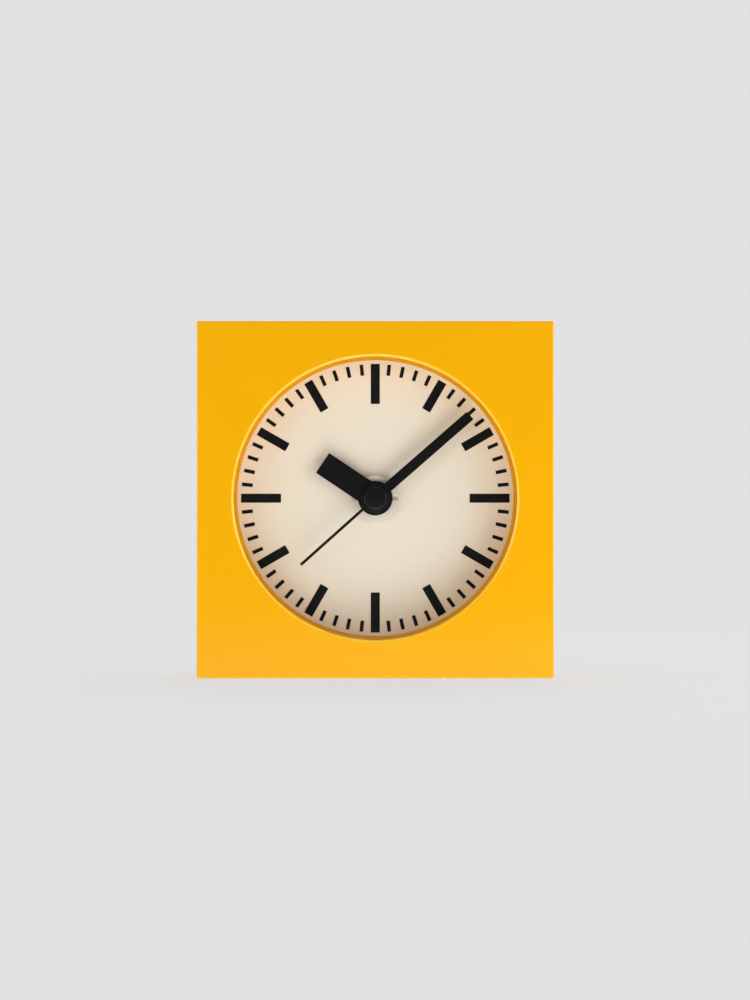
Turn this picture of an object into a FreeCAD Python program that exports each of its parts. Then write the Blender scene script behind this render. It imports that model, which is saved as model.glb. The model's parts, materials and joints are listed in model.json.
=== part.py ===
import FreeCAD, Part
import math
import os

from FreeCAD import Vector

# Square table clock. Millimetres, +Z up, the dial looks along -Y, origin on the table
# under the middle of the case. Depths grow towards the back, along +Y.

# Case and opening
opening_radius = 39.6
opening_fillet = 1.0
face_border = 10.4
dial_rise = 0.4
panel_thickness = 3.0
case_wall = 2.5
case_edge_radius = 0.5
rear_recess_depth = 4.4

# Window, reveal ring and the collar that holds both
lens_thickness = 1.5
lens_overlap = 2.6
reveal_step = 0.1
reveal_taper = 0.4
collar_wall = 1.8
collar_shortfall = 2.0
plastic_fit = 0.2

# Dial and its printed marks
dial_thickness = 1.0
dial_margin = 3.6
dial_corner_gap = 1.0
mark_thickness = 0.05
mark_border = 1.05
baton_width = 2.5
quarter_baton_length = 11.35
hour_baton_length = 9.3
minute_mark_width = 0.96
minute_mark_length = 2.95
minute_mark_inset = 0.25
hours_on_dial = 12
minutes_per_hour_mark = 5
quarter_every = 3

# Screws
dial_screw_head_radius = 2.1
dial_screw_head_height = 1.1
dial_screw_radius = 1.0
dial_screw_length = 5.5
cover_screw_head_radius = 2.4
cover_screw_head_height = 1.3
cover_screw_radius = 1.25
cover_screw_length = 8.0
bridge_screw_head_radius = 1.5
bridge_screw_head_height = 0.7
bridge_screw_radius = 0.7
bridge_screw_length = 3.8
recess_depth_share = 0.5
recess_width_share = 0.28
recess_span_share = 1.2

# Bosses for the dial screws and pillars for the rear cover
boss_radius = 2.9
boss_gap = 4.5
pillar_radius = 3.1
pillar_inset = 4.2
pillar_rib = 1.2
pilot_overrun = 1.0

# Hands, and what is stacked on the dial under them
nut_radius = 6.5
nut_height = 2.0
nut_slot_width = 1.0
nut_slot_depth = 1.7
bush_proud = 0.4
hour_boss_gap = 0.2
hour_boss_radius = 4.9
hour_boss_height = 0.9
hour_hand_width = 6.75
hour_hand_reach = 17.95
minute_boss_gap = 0.4
minute_boss_radius = 4.05
minute_boss_height = 0.9
minute_hand_width = 2.88
minute_hand_shortfall = 2.55
boss_chamfer = 0.25
hand_thickness = 0.4
cap_gap = 0.3
cap_radius = 3.25
cap_height = 1.1
cap_rounding = 0.6
seconds_hand_width = 0.76
seconds_hand_reach = 28.2
seconds_hand_thickness = 0.25
window_clearance = 2.3
hour_hand_angle = 303.8
minute_hand_angle = 48.9
seconds_hand_angle = 228.2

# Shaft stack: bush, hour pipe, minute tube and seconds arbor, each running in the last
running_fit = 0.05
seconds_arbor_radius = 0.45
minute_tube_wall = 1.0
hour_pipe_wall = 0.85
bush_wall = 1.45
bush_flange_width = 2.1
bush_flange_height = 0.8
dial_hole_fit = 0.2
washer_thickness = 0.8
washer_width = 4.9

# Gears: tooth counts, and the distances between their axes
rotor_teeth = 10
step_wheel_teeth = 50
step_pinion_teeth = 10
seconds_wheel_teeth = 60
seconds_pinion_teeth = 10
third_wheel_teeth = 75
third_pinion_teeth = 10
centre_wheel_teeth = 80
cannon_teeth = 12
motion_wheel_teeth = 36
motion_pinion_teeth = 10
hour_wheel_teeth = 40
setting_teeth = 12
third_distance = 11.4
step_distance = 9.1
rotor_distance = 7.8
motion_distance = 8.4
third_angle = 142.0
step_angle = 40.0
rotor_angle = 50.0
motion_angle = -25.0
setting_angle = 20.0
pressure_angle = 25.0
wheel_tip_share = 0.85
pinion_tip_share = 1.0
root_share = 1.25
gear_backlash = 0.05

# Layers of the movement
pinion_length = 1.2
wheel_thickness = 0.8
layer_gap = 0.4
bridge_thickness = 0.8
arbor_radius = 0.5
arbor_end_gap = 0.2
motion_stud_radius = 0.8
setting_arbor_radius = 1.0
pivot_depth = 0.9
pivot_wall = 0.9
wheel_hub_wall = 0.7
motion_hub_wall = 0.4

# Step motor
magnet_radius = 3.0
magnet_length = 2.4
magnet_gap = 0.5
stator_thickness = 0.8
stator_half_width = 9.9
stator_arm_width = 4.0
stator_neck = 0.5
stator_body_height = 8.4
coil_height = 10.7
core_width = 2.2
core_thickness = 1.0
core_end_inset = 0.5
bobbin_wall = 0.8
bobbin_end_gap = 0.3
winding_radius = 3.0
flange_lip = 0.3

# Movement housing
shell_plate = 1.2
shell_wall = 1.0
partition_gap = 0.85
room_over_coil = 1.2
bridge_inset = 4.0
bridge_edge_gap = 0.9
bridge_foot_gap = 1.7
post_radius = 1.6
post_inset = 2.0
hook_width = 5.0
hook_thickness = 0.8
hook_lip = 0.7
hook_lip_height = 0.7
hook_length = 6.0
hook_fit = 0.05
hook_place_shares = (0.3, 0.8)

# Battery and its contacts
battery_diameter = 14.5
battery_length = 50.5
battery_nub_radius = 2.75
battery_nub_length = 1.3
battery_edge_radius = 0.6
battery_fit = 0.25
battery_seat = 0.1
contact_room = 3.5
contact_thickness = 0.4
contact_height = 9.0
contact_setback = 2.0
contact_tail_width = 2.3
leaf_width = 5.0

# Circuit board
board_thickness = 0.8
board_depth = 3.5
board_gap = 0.1
board_post_radius = 1.2
board_foot_gap = 1.0
board_end_gap = 1.1
chip_radius = 2.6
chip_height = 1.1
chip_place_share = 0.62
crystal_radius = 1.0
crystal_length = 6.0
crystal_place_share = 0.25
board_post_place_shares = (0.12, 0.86)

# Rear cover, battery door and setting knob
rear_gap = 2.3
cover_thickness = 2.6
cover_corner_radius = 1.5
screw_hole_fit = 0.3
window_margin = 0.4
window_end_margin = 2.0
door_ledge = 2.0
door_thickness = 1.6
door_sink = 0.3
door_seat = 0.05
door_pin_radius = 0.55
door_pin_length = 1.4
door_notch_radius = 6.0
door_notch_depth = 1.3
knob_radius = 6.2
knob_well_gap = 0.8
knob_start = 0.3
knob_hub_radius = 2.5
knob_hub_length = 1.4
knob_thickness = 4.8
knob_bore_depth = 2.6
knob_edge_chamfer = 0.5
knob_grips = 20
knob_grip_radius = 0.6
knob_grip_share = 0.45

# Overrun of every cut past the face that it opens
overrun = 0.5

# Directions
backward = Vector(0, 1, 0)
sideways = Vector(1, 0, 0)
quarter_turn = math.pi / 2
half_turn = math.pi
full_turn = 2 * math.pi
origin = (0, 0)


def polar(distance, angle, start=origin):
    """Place at a distance from another, at an angle counted in degrees from +X to +Z."""
    turn = math.radians(angle)
    return (start[0] + distance * math.cos(turn), start[1] + distance * math.sin(turn))


# Sizes that follow from the fits of the shaft stack
minute_bore = seconds_arbor_radius + running_fit
minute_tube_radius = minute_bore + minute_tube_wall
hour_bore = minute_tube_radius + running_fit
hour_pipe_radius = hour_bore + hour_pipe_wall
bush_bore = hour_pipe_radius + running_fit
bush_radius = bush_bore + bush_wall
dial_hole_radius = bush_radius + dial_hole_fit

# Sizes that follow from the opening
lens_radius = opening_radius + lens_overlap
collar_inner_radius = lens_radius + plastic_fit
collar_outer_radius = collar_inner_radius + collar_wall
reveal_front_radius = opening_radius - reveal_step
reveal_back_radius = reveal_front_radius - reveal_taper
mark_outer_radius = reveal_back_radius - mark_border
minute_mark_outer_radius = mark_outer_radius - minute_mark_inset
minute_hand_reach = mark_outer_radius - minute_hand_shortfall
case_half = opening_radius + face_border
case_side = 2 * case_half
inside_half = case_half - case_wall
axis_z = case_half + dial_rise

# Places of the gears, from the shaft of the hands
third_place = polar(third_distance, third_angle)
step_place = polar(step_distance, step_angle)
rotor_place = polar(rotor_distance, rotor_angle, step_place)
motion_place = polar(motion_distance, motion_angle)


def shared_module(distance, teeth, mate_teeth):
    """Module of two wheels whose axes lie this far apart."""
    return 2 * distance / (teeth + mate_teeth)


rotor_module = shared_module(rotor_distance, rotor_teeth, step_wheel_teeth)
step_module = shared_module(step_distance, step_pinion_teeth, seconds_wheel_teeth)
seconds_module = shared_module(third_distance, seconds_pinion_teeth, third_wheel_teeth)
third_module = shared_module(third_distance, third_pinion_teeth, centre_wheel_teeth)
cannon_module = shared_module(motion_distance, cannon_teeth, motion_wheel_teeth)
hour_module = shared_module(motion_distance, motion_pinion_teeth, hour_wheel_teeth)
setting_distance = cannon_module * (motion_wheel_teeth + setting_teeth) / 2
setting_place = polar(setting_distance, setting_angle, motion_place)
motion_tip_radius = cannon_module * (motion_wheel_teeth / 2 + wheel_tip_share)

# Heights of the stack on the dial, counted forwards from its face
bush_front_height = nut_height + bush_proud
hour_boss_start = bush_front_height + hour_boss_gap
hour_boss_end = hour_boss_start + hour_boss_height
minute_boss_start = hour_boss_end + minute_boss_gap
minute_boss_end = minute_boss_start + minute_boss_height
cap_start = minute_boss_end + cap_gap
cap_end = cap_start + cap_height
reveal_depth = cap_end + window_clearance

# Depths, counted backwards from the front face
lens_front_depth = panel_thickness
reveal_front_depth = lens_front_depth + lens_thickness
dial_front_depth = reveal_front_depth + reveal_depth
dial_back_depth = dial_front_depth + dial_thickness
shell_front_depth = dial_back_depth + washer_thickness
shell_floor_depth = shell_front_depth + shell_plate
layer_pitch = pinion_length + layer_gap
hour_layer_depth = shell_floor_depth + bush_flange_height + layer_gap
cannon_layer_depth = hour_layer_depth + layer_pitch
centre_layer_depth = cannon_layer_depth + layer_pitch
bridge_depth = centre_layer_depth + layer_pitch
bridge_back_depth = bridge_depth + bridge_thickness
third_layer_depth = bridge_back_depth + layer_gap
seconds_layer_depth = third_layer_depth + layer_pitch
step_layer_depth = seconds_layer_depth + layer_pitch
train_end_depth = step_layer_depth + layer_pitch
bay_end_depth = shell_floor_depth + battery_diameter + 2 * battery_seat
shell_back_depth = max(bay_end_depth, train_end_depth + pivot_depth + shell_plate)
lid_depth = shell_back_depth - shell_plate
cover_front_depth = shell_back_depth + rear_gap
cover_back_depth = cover_front_depth + cover_thickness
case_depth = cover_back_depth + rear_recess_depth
front_y = -case_depth / 2

# Heights inside the movement, counted upwards from the shaft of the hands
partition_top = motion_place[1] - motion_tip_radius - partition_gap
bay_top = partition_top - shell_wall
bay_bottom = bay_top - battery_diameter - 2 * battery_fit
battery_height = (bay_top + bay_bottom) / 2
shell_bottom = bay_bottom - shell_wall
coil_axis_height = rotor_place[1] + coil_height
flange_radius = winding_radius + flange_lip
room_top = coil_axis_height + flange_radius + room_over_coil
shell_top = room_top + shell_wall
bay_half_length = (battery_length + contact_room) / 2
shell_half = bay_half_length + shell_wall
bridge_half = bay_half_length - bridge_inset
bridge_bottom = partition_top + bridge_foot_gap
bridge_top = coil_axis_height - flange_radius - bridge_edge_gap

# Pivots and posts
train_pivot_end = lid_depth - arbor_end_gap
third_post_depth = centre_layer_depth - layer_gap
setting_post_depth = cannon_layer_depth - layer_gap
pivot_hole_radius = arbor_radius + running_fit
pivot_boss_radius = pivot_hole_radius + pivot_wall
setting_hole_radius = setting_arbor_radius + running_fit
post_x = bridge_half - post_inset
post_places = [
    (x * post_x, height)
    for x in (-1, 1)
    for height in (bridge_bottom + post_inset, bridge_top - post_inset)
]

# Step motor, from the magnet outwards
magnet_start_depth = third_layer_depth
magnet_end_depth = magnet_start_depth + magnet_length
stator_start_depth = (magnet_start_depth + magnet_end_depth - stator_thickness) / 2
stator_end_depth = stator_start_depth + stator_thickness
core_end_depth = stator_end_depth + core_thickness
coil_axis_depth = (stator_end_depth + core_end_depth) / 2
bobbin_half = stator_half_width - stator_arm_width - bobbin_end_gap
spool_radius = math.hypot(core_width, core_thickness) / 2 + bobbin_wall / 2
stator_post_places = [
    (rotor_place[0] + side * (stator_half_width - stator_arm_width / 2), coil_axis_height)
    for side in (-1, 1)
]

# Circuit board, between the left wall and the step motor
board_start_depth = shell_floor_depth + board_depth
board_end_depth = board_start_depth + board_thickness
board_left = -bay_half_length + contact_thickness + board_gap
board_right = rotor_place[0] - stator_half_width - board_end_gap
board_top = room_top - contact_thickness - board_gap
board_bottom = bridge_top + board_foot_gap
board_middle = (board_top + board_bottom) / 2
board_post_places = [
    (board_left + share * (board_right - board_left), board_middle)
    for share in board_post_place_shares
]
tail_start_depth = board_end_depth - contact_tail_width

# Battery in its bay, and the door behind it
battery_left = -bay_half_length + contact_thickness + battery_seat
battery_right = battery_left + battery_length
battery_axis_depth = shell_floor_depth + battery_seat + battery_diameter / 2
window_half = battery_length / 2 + window_end_margin
window_low = battery_height - battery_diameter / 2 - window_margin
window_high = battery_height + battery_diameter / 2 + window_margin
ledge_half = window_half + door_ledge
ledge_low = window_low - door_ledge
ledge_high = window_high + door_ledge
door_front_depth = cover_back_depth - door_sink - door_thickness
door_axis_depth = door_front_depth + door_thickness / 2
door_barrel_radius = door_thickness / 2
door_axis_height = ledge_high - plastic_fit - door_barrel_radius

# Places of the screw bosses and the corner pillars
boss_place = (collar_outer_radius + boss_gap + boss_radius) / math.sqrt(2)
boss_places = [(x * boss_place, z * boss_place) for x in (-1, 1) for z in (-1, 1)]
pillar_place = inside_half - pillar_inset
pillar_places = [
    (x * pillar_place, z * pillar_place - dial_rise) for x in (-1, 1) for z in (-1, 1)
]


def depth(value):
    """Y of a depth behind the front face."""
    return front_y + value


def above_dial(height):
    """Depth of a height in front of the dial's face."""
    return dial_front_depth - height


def point(x, at_depth, height):
    """Point from a sideways place, a depth and a height above the shaft of the hands."""
    return Vector(x, depth(at_depth), axis_z + height)


def disc(radius, start, end, place=origin):
    """Round bar along Y between two depths."""
    return Part.makeCylinder(radius, end - start, point(place[0], start, place[1]), backward)


def ring(outer, inner, start, end, place=origin):
    """Round tube along Y between two depths."""
    return disc(outer, start, end, place).cut(disc(inner, start - overrun, end + overrun, place))


def block(left, right, start, end, low, high):
    """Box from its sides, depths and heights above the shaft of the hands."""
    return Part.makeBox(right - left, end - start, high - low, point(left, start, low))


def turned(profile, place=origin):
    """Solid of revolution about a Y axis from (radius, depth) corners."""
    corners = [point(place[0] + radius, at_depth, place[1]) for radius, at_depth in profile]
    face = Part.Face(Part.makePolygon(corners + corners[:1]))
    return face.revolve(point(place[0], 0, place[1]), backward, math.degrees(full_turn))


def plate(corners, start, end):
    """Flat plate from its outline in (sideways, height) corners."""
    outline = [point(x, start, height) for x, height in corners]
    return Part.Face(Part.makePolygon(outline + outline[:1])).extrude(backward * (end - start))


def joined(first, others):
    """One solid from several that touch."""
    return first.multiFuse(others).removeSplitter()


def turned_about_shaft(shape, degrees):
    """Copy turned clockwise, as the dial is read, from twelve o'clock."""
    return shape.rotated(point(0, 0, 0), backward, degrees)


# Gears

def tooth_half_angle(teeth, module, radius):
    """Half the angle that a tooth fills at a radius, thinned for backlash."""
    slope = math.radians(pressure_angle)
    pitch_radius = module * teeth / 2
    base_radius = pitch_radius * math.cos(slope)
    at_radius = math.acos(min(1, base_radius / radius))
    thickness = half_turn * pitch_radius / teeth - gear_backlash / 2
    half_at_pitch = thickness / (2 * pitch_radius)
    return half_at_pitch + (math.tan(slope) - slope) - (math.tan(at_radius) - at_radius)


def gear(teeth, module, tip_share, phase, start, end, place=origin):
    """Involute gear; phase is the direction of one tooth, in radians from +X to +Z."""
    pitch_radius = module * teeth / 2
    tip_radius = pitch_radius + tip_share * module
    root_radius = pitch_radius - root_share * module
    base_radius = pitch_radius * math.cos(math.radians(pressure_angle))
    flank_start = max(base_radius, root_radius)
    flank_middle = (flank_start + tip_radius) / 2
    pitch_step = full_turn / teeth

    def at(radius, turn):
        return point(place[0] + radius * math.cos(turn), start, place[1] + radius * math.sin(turn))

    def flank(middle, side):
        return [
            at(radius, middle + side * tooth_half_angle(teeth, module, radius))
            for radius in (flank_start, flank_middle, tip_radius)
        ]

    foot_half = tooth_half_angle(teeth, module, flank_start)
    edges = []
    for tooth in range(teeth):
        middle = phase + tooth * pitch_step
        rising = flank(middle, -1)
        falling = flank(middle, 1)
        foot_in = at(root_radius, middle - foot_half)
        foot_out = at(root_radius, middle + foot_half)
        next_foot = at(root_radius, middle + pitch_step - foot_half)
        if root_radius < base_radius:
            edges.append(Part.LineSegment(foot_in, rising[0]).toShape())
        edges.append(Part.Arc(*rising).toShape())
        edges.append(Part.Arc(rising[2], at(tip_radius, middle), falling[2]).toShape())
        edges.append(Part.Arc(*reversed(falling)).toShape())
        if root_radius < base_radius:
            edges.append(Part.LineSegment(falling[0], foot_out).toShape())
        valley = at(root_radius, middle + pitch_step / 2)
        edges.append(Part.Arc(foot_out, valley, next_foot).toShape())
    return Part.Face(Part.Wire(edges)).extrude(backward * (end - start))


def wheel(teeth, module, phase, layer, place=origin):
    """Thin wheel in the middle of a layer."""
    start = layer + (pinion_length - wheel_thickness) / 2
    return gear(teeth, module, wheel_tip_share, phase, start, start + wheel_thickness, place)


def pinion(teeth, module, phase, layer, place=origin):
    """Pinion as long as its layer."""
    return gear(teeth, module, pinion_tip_share, phase, layer, layer + pinion_length, place)


def mate_phase(teeth, phase, mate_teeth, direction):
    """Phase at which a mate's gaps take the teeth, direction running towards the mate."""
    pitches = (direction - phase) * teeth / full_turn
    return direction + half_turn - full_turn / mate_teeth / 2 + full_turn * pitches / mate_teeth


def bored(shape, radius, place=origin):
    """The shape with a hole right through it along Y."""
    return shape.cut(disc(radius, -overrun, case_depth + overrun, place))


to_third = math.radians(third_angle)
to_step = math.radians(step_angle)
to_rotor = math.radians(rotor_angle)
to_motion = math.radians(motion_angle)
to_setting = math.radians(setting_angle)
third_wheel_phase = mate_phase(seconds_pinion_teeth, to_third, third_wheel_teeth, to_third)
third_pinion_phase = mate_phase(centre_wheel_teeth, to_third, third_pinion_teeth, to_third)
step_pinion_phase = mate_phase(seconds_wheel_teeth, to_step, step_pinion_teeth, to_step)
rotor_phase = mate_phase(step_wheel_teeth, to_rotor, rotor_teeth, to_rotor)
motion_wheel_phase = mate_phase(cannon_teeth, to_motion, motion_wheel_teeth, to_motion)
motion_pinion_phase = mate_phase(hour_wheel_teeth, to_motion, motion_pinion_teeth, to_motion)
setting_phase = mate_phase(motion_wheel_teeth, motion_wheel_phase, setting_teeth, to_setting)


# Screws, their heads to the back

def screw(head_radius, head_height, shank_radius, shank_length, seat_depth, place):
    """Pan-head screw with a cross recess, its head behind the seat."""
    head_end = seat_depth + head_height
    shoulder = head_end - head_height * recess_depth_share
    body = turned(
        [
            (0, seat_depth - shank_length),
            (shank_radius / 2, seat_depth - shank_length),
            (shank_radius, seat_depth - shank_length + shank_radius / 2),
            (shank_radius, seat_depth),
            (head_radius, seat_depth),
            (head_radius, shoulder),
            (head_radius - head_height * recess_depth_share / 2, head_end),
            (0, head_end),
        ],
        place,
    )
    half_span = head_radius * recess_span_share / 2
    half_width = head_radius * recess_width_share / 2
    for across, along in ((half_span, half_width), (half_width, half_span)):
        slot = block(-across, across, shoulder, head_end + overrun, -along, along)
        slot.translate(Vector(place[0], 0, place[1]))
        body = body.cut(slot)
    return body


def make_dial_screws():
    """Screws that hold dial, reveal ring and window in the case."""
    return Part.makeCompound(
        [
            screw(
                dial_screw_head_radius, dial_screw_head_height,
                dial_screw_radius, dial_screw_length, dial_back_depth, place,
            )
            for place in boss_places
        ]
    )


def make_cover_screws():
    """Screws that hold the rear cover on its pillars."""
    return Part.makeCompound(
        [
            screw(
                cover_screw_head_radius, cover_screw_head_height,
                cover_screw_radius, cover_screw_length, cover_back_depth, place,
            )
            for place in pillar_places
        ]
    )


def make_bridge_screws():
    """Screws that hold the gear bridge on its posts."""
    return Part.makeCompound(
        [
            screw(
                bridge_screw_head_radius, bridge_screw_head_height,
                bridge_screw_radius, bridge_screw_length, bridge_back_depth, place,
            )
            for place in post_places
        ]
    )


# Case

def opening_cutter():
    """Round opening whose front edge flares out in a quarter round."""
    flare = opening_radius + opening_fillet
    knee = opening_fillet * (1 - math.cos(quarter_turn / 2))
    edges = [
        Part.LineSegment(point(0, -overrun, 0), point(flare, -overrun, 0)),
        Part.LineSegment(point(flare, -overrun, 0), point(flare, 0, 0)),
        Part.Arc(
            point(flare, 0, 0),
            point(opening_radius + knee, knee, 0),
            point(opening_radius, opening_fillet, 0),
        ),
        Part.LineSegment(
            point(opening_radius, opening_fillet, 0),
            point(opening_radius, panel_thickness + overrun, 0),
        ),
        Part.LineSegment(
            point(opening_radius, panel_thickness + overrun, 0),
            point(0, panel_thickness + overrun, 0),
        ),
        Part.LineSegment(point(0, panel_thickness + overrun, 0), point(0, -overrun, 0)),
    ]
    face = Part.Face(Part.Wire([edge.toShape() for edge in edges]))
    return face.revolve(point(0, 0, 0), backward, math.degrees(full_turn))


def pillar(place):
    """Corner pillar for a cover screw, tied to both walls by ribs."""
    side_x = math.copysign(1, place[0])
    side_z = math.copysign(1, place[1])
    wall_x = side_x * inside_half
    wall_z = side_z * inside_half - dial_rise
    ribs = [
        block(
            min(place[0], wall_x), max(place[0], wall_x),
            panel_thickness, cover_front_depth,
            place[1] - pillar_rib / 2, place[1] + pillar_rib / 2,
        ),
        block(
            place[0] - pillar_rib / 2, place[0] + pillar_rib / 2,
            panel_thickness, cover_front_depth,
            min(place[1], wall_z), max(place[1], wall_z),
        ),
    ]
    return joined(disc(pillar_radius, panel_thickness, cover_front_depth, place), ribs)


def make_case():
    """Moulded tub with its opening, collar, screw bosses and pillars."""
    outside = Part.makeBox(case_side, case_depth, case_side, Vector(-case_half, front_y, 0))
    outside = outside.makeFillet(case_edge_radius, outside.Edges)
    low = -dial_rise - inside_half
    high = -dial_rise + inside_half
    inside = block(-inside_half, inside_half, panel_thickness, case_depth + overrun, low, high)
    collar_end = dial_front_depth - collar_shortfall
    additions = [ring(collar_outer_radius, collar_inner_radius, panel_thickness, collar_end)]
    additions += [disc(boss_radius, panel_thickness, dial_front_depth, place) for place in boss_places]
    additions += [pillar(place) for place in pillar_places]
    shape = joined(outside.cut(inside), additions).cut(opening_cutter())
    hole_start = dial_back_depth - dial_screw_length - pilot_overrun
    for place in boss_places:
        shape = shape.cut(disc(dial_screw_radius, hole_start, dial_back_depth, place))
    hole_start = cover_back_depth - cover_screw_length - pilot_overrun
    for place in pillar_places:
        shape = shape.cut(disc(cover_screw_radius, hole_start, cover_back_depth, place))
    return shape


# Window, reveal ring and dial

def make_lens():
    """Clear disc seated behind the front panel."""
    return disc(lens_radius, lens_front_depth, reveal_front_depth)


def make_reveal_ring():
    """Ring that narrows from the window to the dial and clamps the window."""
    return turned(
        [
            (reveal_front_radius, reveal_front_depth),
            (lens_radius, reveal_front_depth),
            (lens_radius, dial_front_depth),
            (reveal_back_radius, dial_front_depth),
        ]
    )


def make_dial():
    """Plate with clipped corners, a hole for the bush and four for its screws."""
    half = opening_radius + dial_margin
    pillar_reach = pillar_place * math.sqrt(2) - dial_rise - pillar_radius
    corner = (pillar_reach - dial_corner_gap) * math.sqrt(2) - half
    quarter = [(half, corner), (corner, half)]
    outline = []
    for turns in range(4):
        turn = turns * quarter_turn
        for x, height in quarter:
            outline.append(
                (
                    x * math.cos(turn) - height * math.sin(turn),
                    x * math.sin(turn) + height * math.cos(turn),
                )
            )
    shape = bored(plate(outline, dial_front_depth, dial_back_depth), dial_hole_radius)
    for place in boss_places:
        shape = bored(shape, dial_screw_radius + screw_hole_fit, place)
    return shape


def dial_mark(width, outer_radius, length, degrees):
    """Thin printed bar that points at the shaft."""
    start = above_dial(mark_thickness)
    bar = block(-width / 2, width / 2, start, dial_front_depth, outer_radius - length, outer_radius)
    return turned_about_shaft(bar, degrees)


def make_hour_marks():
    """Twelve batons, every third one longer."""
    step = math.degrees(full_turn) / hours_on_dial
    marks = []
    for hour in range(hours_on_dial):
        length = hour_baton_length if hour % quarter_every else quarter_baton_length
        marks.append(dial_mark(baton_width, mark_outer_radius, length, hour * step))
    return Part.makeCompound(marks)


def make_minute_marks():
    """Short dashes between the batons."""
    count = hours_on_dial * minutes_per_hour_mark
    step = math.degrees(full_turn) / count
    return Part.makeCompound(
        [
            dial_mark(minute_mark_width, minute_mark_outer_radius, minute_mark_length, minute * step)
            for minute in range(count)
            if minute % minutes_per_hour_mark
        ]
    )


# Nut, washer and bush

def make_shaft_nut():
    """Round nut with a slot at each side."""
    start = above_dial(nut_height)
    shape = ring(nut_radius, bush_radius, start, dial_front_depth)
    for side in (-1, 1):
        inner = side * (nut_radius - nut_slot_depth)
        outer = side * (nut_radius + overrun)
        shape = shape.cut(
            block(
                min(inner, outer), max(inner, outer),
                start - overrun, dial_front_depth + overrun,
                -nut_slot_width / 2, nut_slot_width / 2,
            )
        )
    return shape


def make_shaft_washer():
    """Rubber washer between dial and movement."""
    return ring(dial_hole_radius + washer_width, dial_hole_radius, dial_back_depth, shell_front_depth)


def make_threaded_bush():
    """Bush with a flange behind the housing's front plate."""
    barrel = disc(bush_radius, above_dial(bush_front_height), shell_floor_depth)
    flange_end = shell_floor_depth + bush_flange_height
    flange = disc(bush_radius + bush_flange_width, shell_floor_depth, flange_end)
    return bored(joined(barrel, [flange]), bush_bore)


# Hands

def hand_boss(radius, bore, start_height, height):
    """Boss of a hand with a chamfered front edge."""
    back = above_dial(start_height)
    front = above_dial(start_height + height)
    return turned(
        [
            (bore, back),
            (radius, back),
            (radius, front + boss_chamfer),
            (radius - boss_chamfer, front),
            (bore, front),
        ]
    )


def hand_bar(width, reach, middle_height, thickness, bore, degrees):
    """Flat bar of a hand, clear of its bore and square at its tip."""
    start = above_dial(middle_height + thickness / 2)
    end = start + thickness
    bar = block(-width / 2, width / 2, start, end, 0, reach)
    return turned_about_shaft(bored(bar, bore), degrees)


def make_hour_hand():
    """Broad parallel hand pressed on the hour pipe."""
    boss = hand_boss(hour_boss_radius, hour_pipe_radius, hour_boss_start, hour_boss_height)
    middle = hour_boss_start + hour_boss_height / 2
    bar = hand_bar(
        hour_hand_width, hour_hand_reach, middle, hand_thickness, hour_pipe_radius, hour_hand_angle
    )
    return joined(boss, [bar])


def make_minute_hand():
    """Slim parallel hand pressed on the minute tube."""
    boss = hand_boss(minute_boss_radius, minute_tube_radius, minute_boss_start, minute_boss_height)
    middle = minute_boss_start + minute_boss_height / 2
    bar = hand_bar(
        minute_hand_width, minute_hand_reach, middle, hand_thickness, minute_tube_radius,
        minute_hand_angle,
    )
    return joined(boss, [bar])


def make_seconds_hand():
    """Thin hand with a rounded cap, pressed on the seconds arbor."""
    back = above_dial(cap_start)
    front = above_dial(cap_end)
    cap = disc(cap_radius, front, back)
    rim = [edge for edge in cap.Edges if edge.BoundBox.YMax < depth((front + back) / 2)]
    cap = cap.makeFillet(cap_rounding, [edge for edge in rim if edge.Closed])
    middle = cap_start + cap_height / 2
    bar = hand_bar(
        seconds_hand_width, seconds_hand_reach, middle, seconds_hand_thickness,
        seconds_arbor_radius, seconds_hand_angle,
    )
    socket = disc(seconds_arbor_radius, (front + back) / 2, back + overrun)
    return joined(cap.cut(socket), [bar])


# Going train, from the rotor to the centre wheel

def arbor(start, end, place):
    """Plain arbor that turns in holes a running fit larger."""
    return disc(arbor_radius, start, end, place)


def make_rotor_pinion():
    """Rotor arbor with its pinion."""
    shaft = arbor(bridge_depth, train_pivot_end, rotor_place)
    teeth = pinion(rotor_teeth, rotor_module, rotor_phase, step_layer_depth, rotor_place)
    return joined(shaft, [teeth])


def make_rotor_magnet():
    """Magnet pressed on the rotor arbor."""
    return ring(magnet_radius, arbor_radius, magnet_start_depth, magnet_end_depth, rotor_place)


def make_step_wheel():
    """First reduction: wheel on the rotor pinion, pinion on the seconds wheel."""
    shaft = arbor(bridge_depth, train_pivot_end, step_place)
    return joined(
        shaft,
        [
            wheel(step_wheel_teeth, rotor_module, to_rotor, step_layer_depth, step_place),
            pinion(step_pinion_teeth, step_module, step_pinion_phase, seconds_layer_depth, step_place),
            disc(
                arbor_radius + wheel_hub_wall,
                seconds_layer_depth + pinion_length, step_layer_depth + pinion_length, step_place,
            ),
        ],
    )


def make_seconds_wheel():
    """Wheel and pinion that turn once a minute, pressed on the seconds arbor."""
    return bored(
        joined(
            pinion(seconds_pinion_teeth, seconds_module, to_third, third_layer_depth),
            [
                disc(
                    seconds_arbor_radius + wheel_hub_wall,
                    third_layer_depth + pinion_length, seconds_layer_depth + pinion_length,
                ),
                wheel(seconds_wheel_teeth, step_module, to_step, seconds_layer_depth),
            ],
        ),
        seconds_arbor_radius,
    )


def make_seconds_arbor():
    """Steel pin through the minute tube, from the rear pivot to the seconds hand."""
    return disc(seconds_arbor_radius, above_dial(cap_start + cap_height / 2), train_pivot_end)


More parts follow.
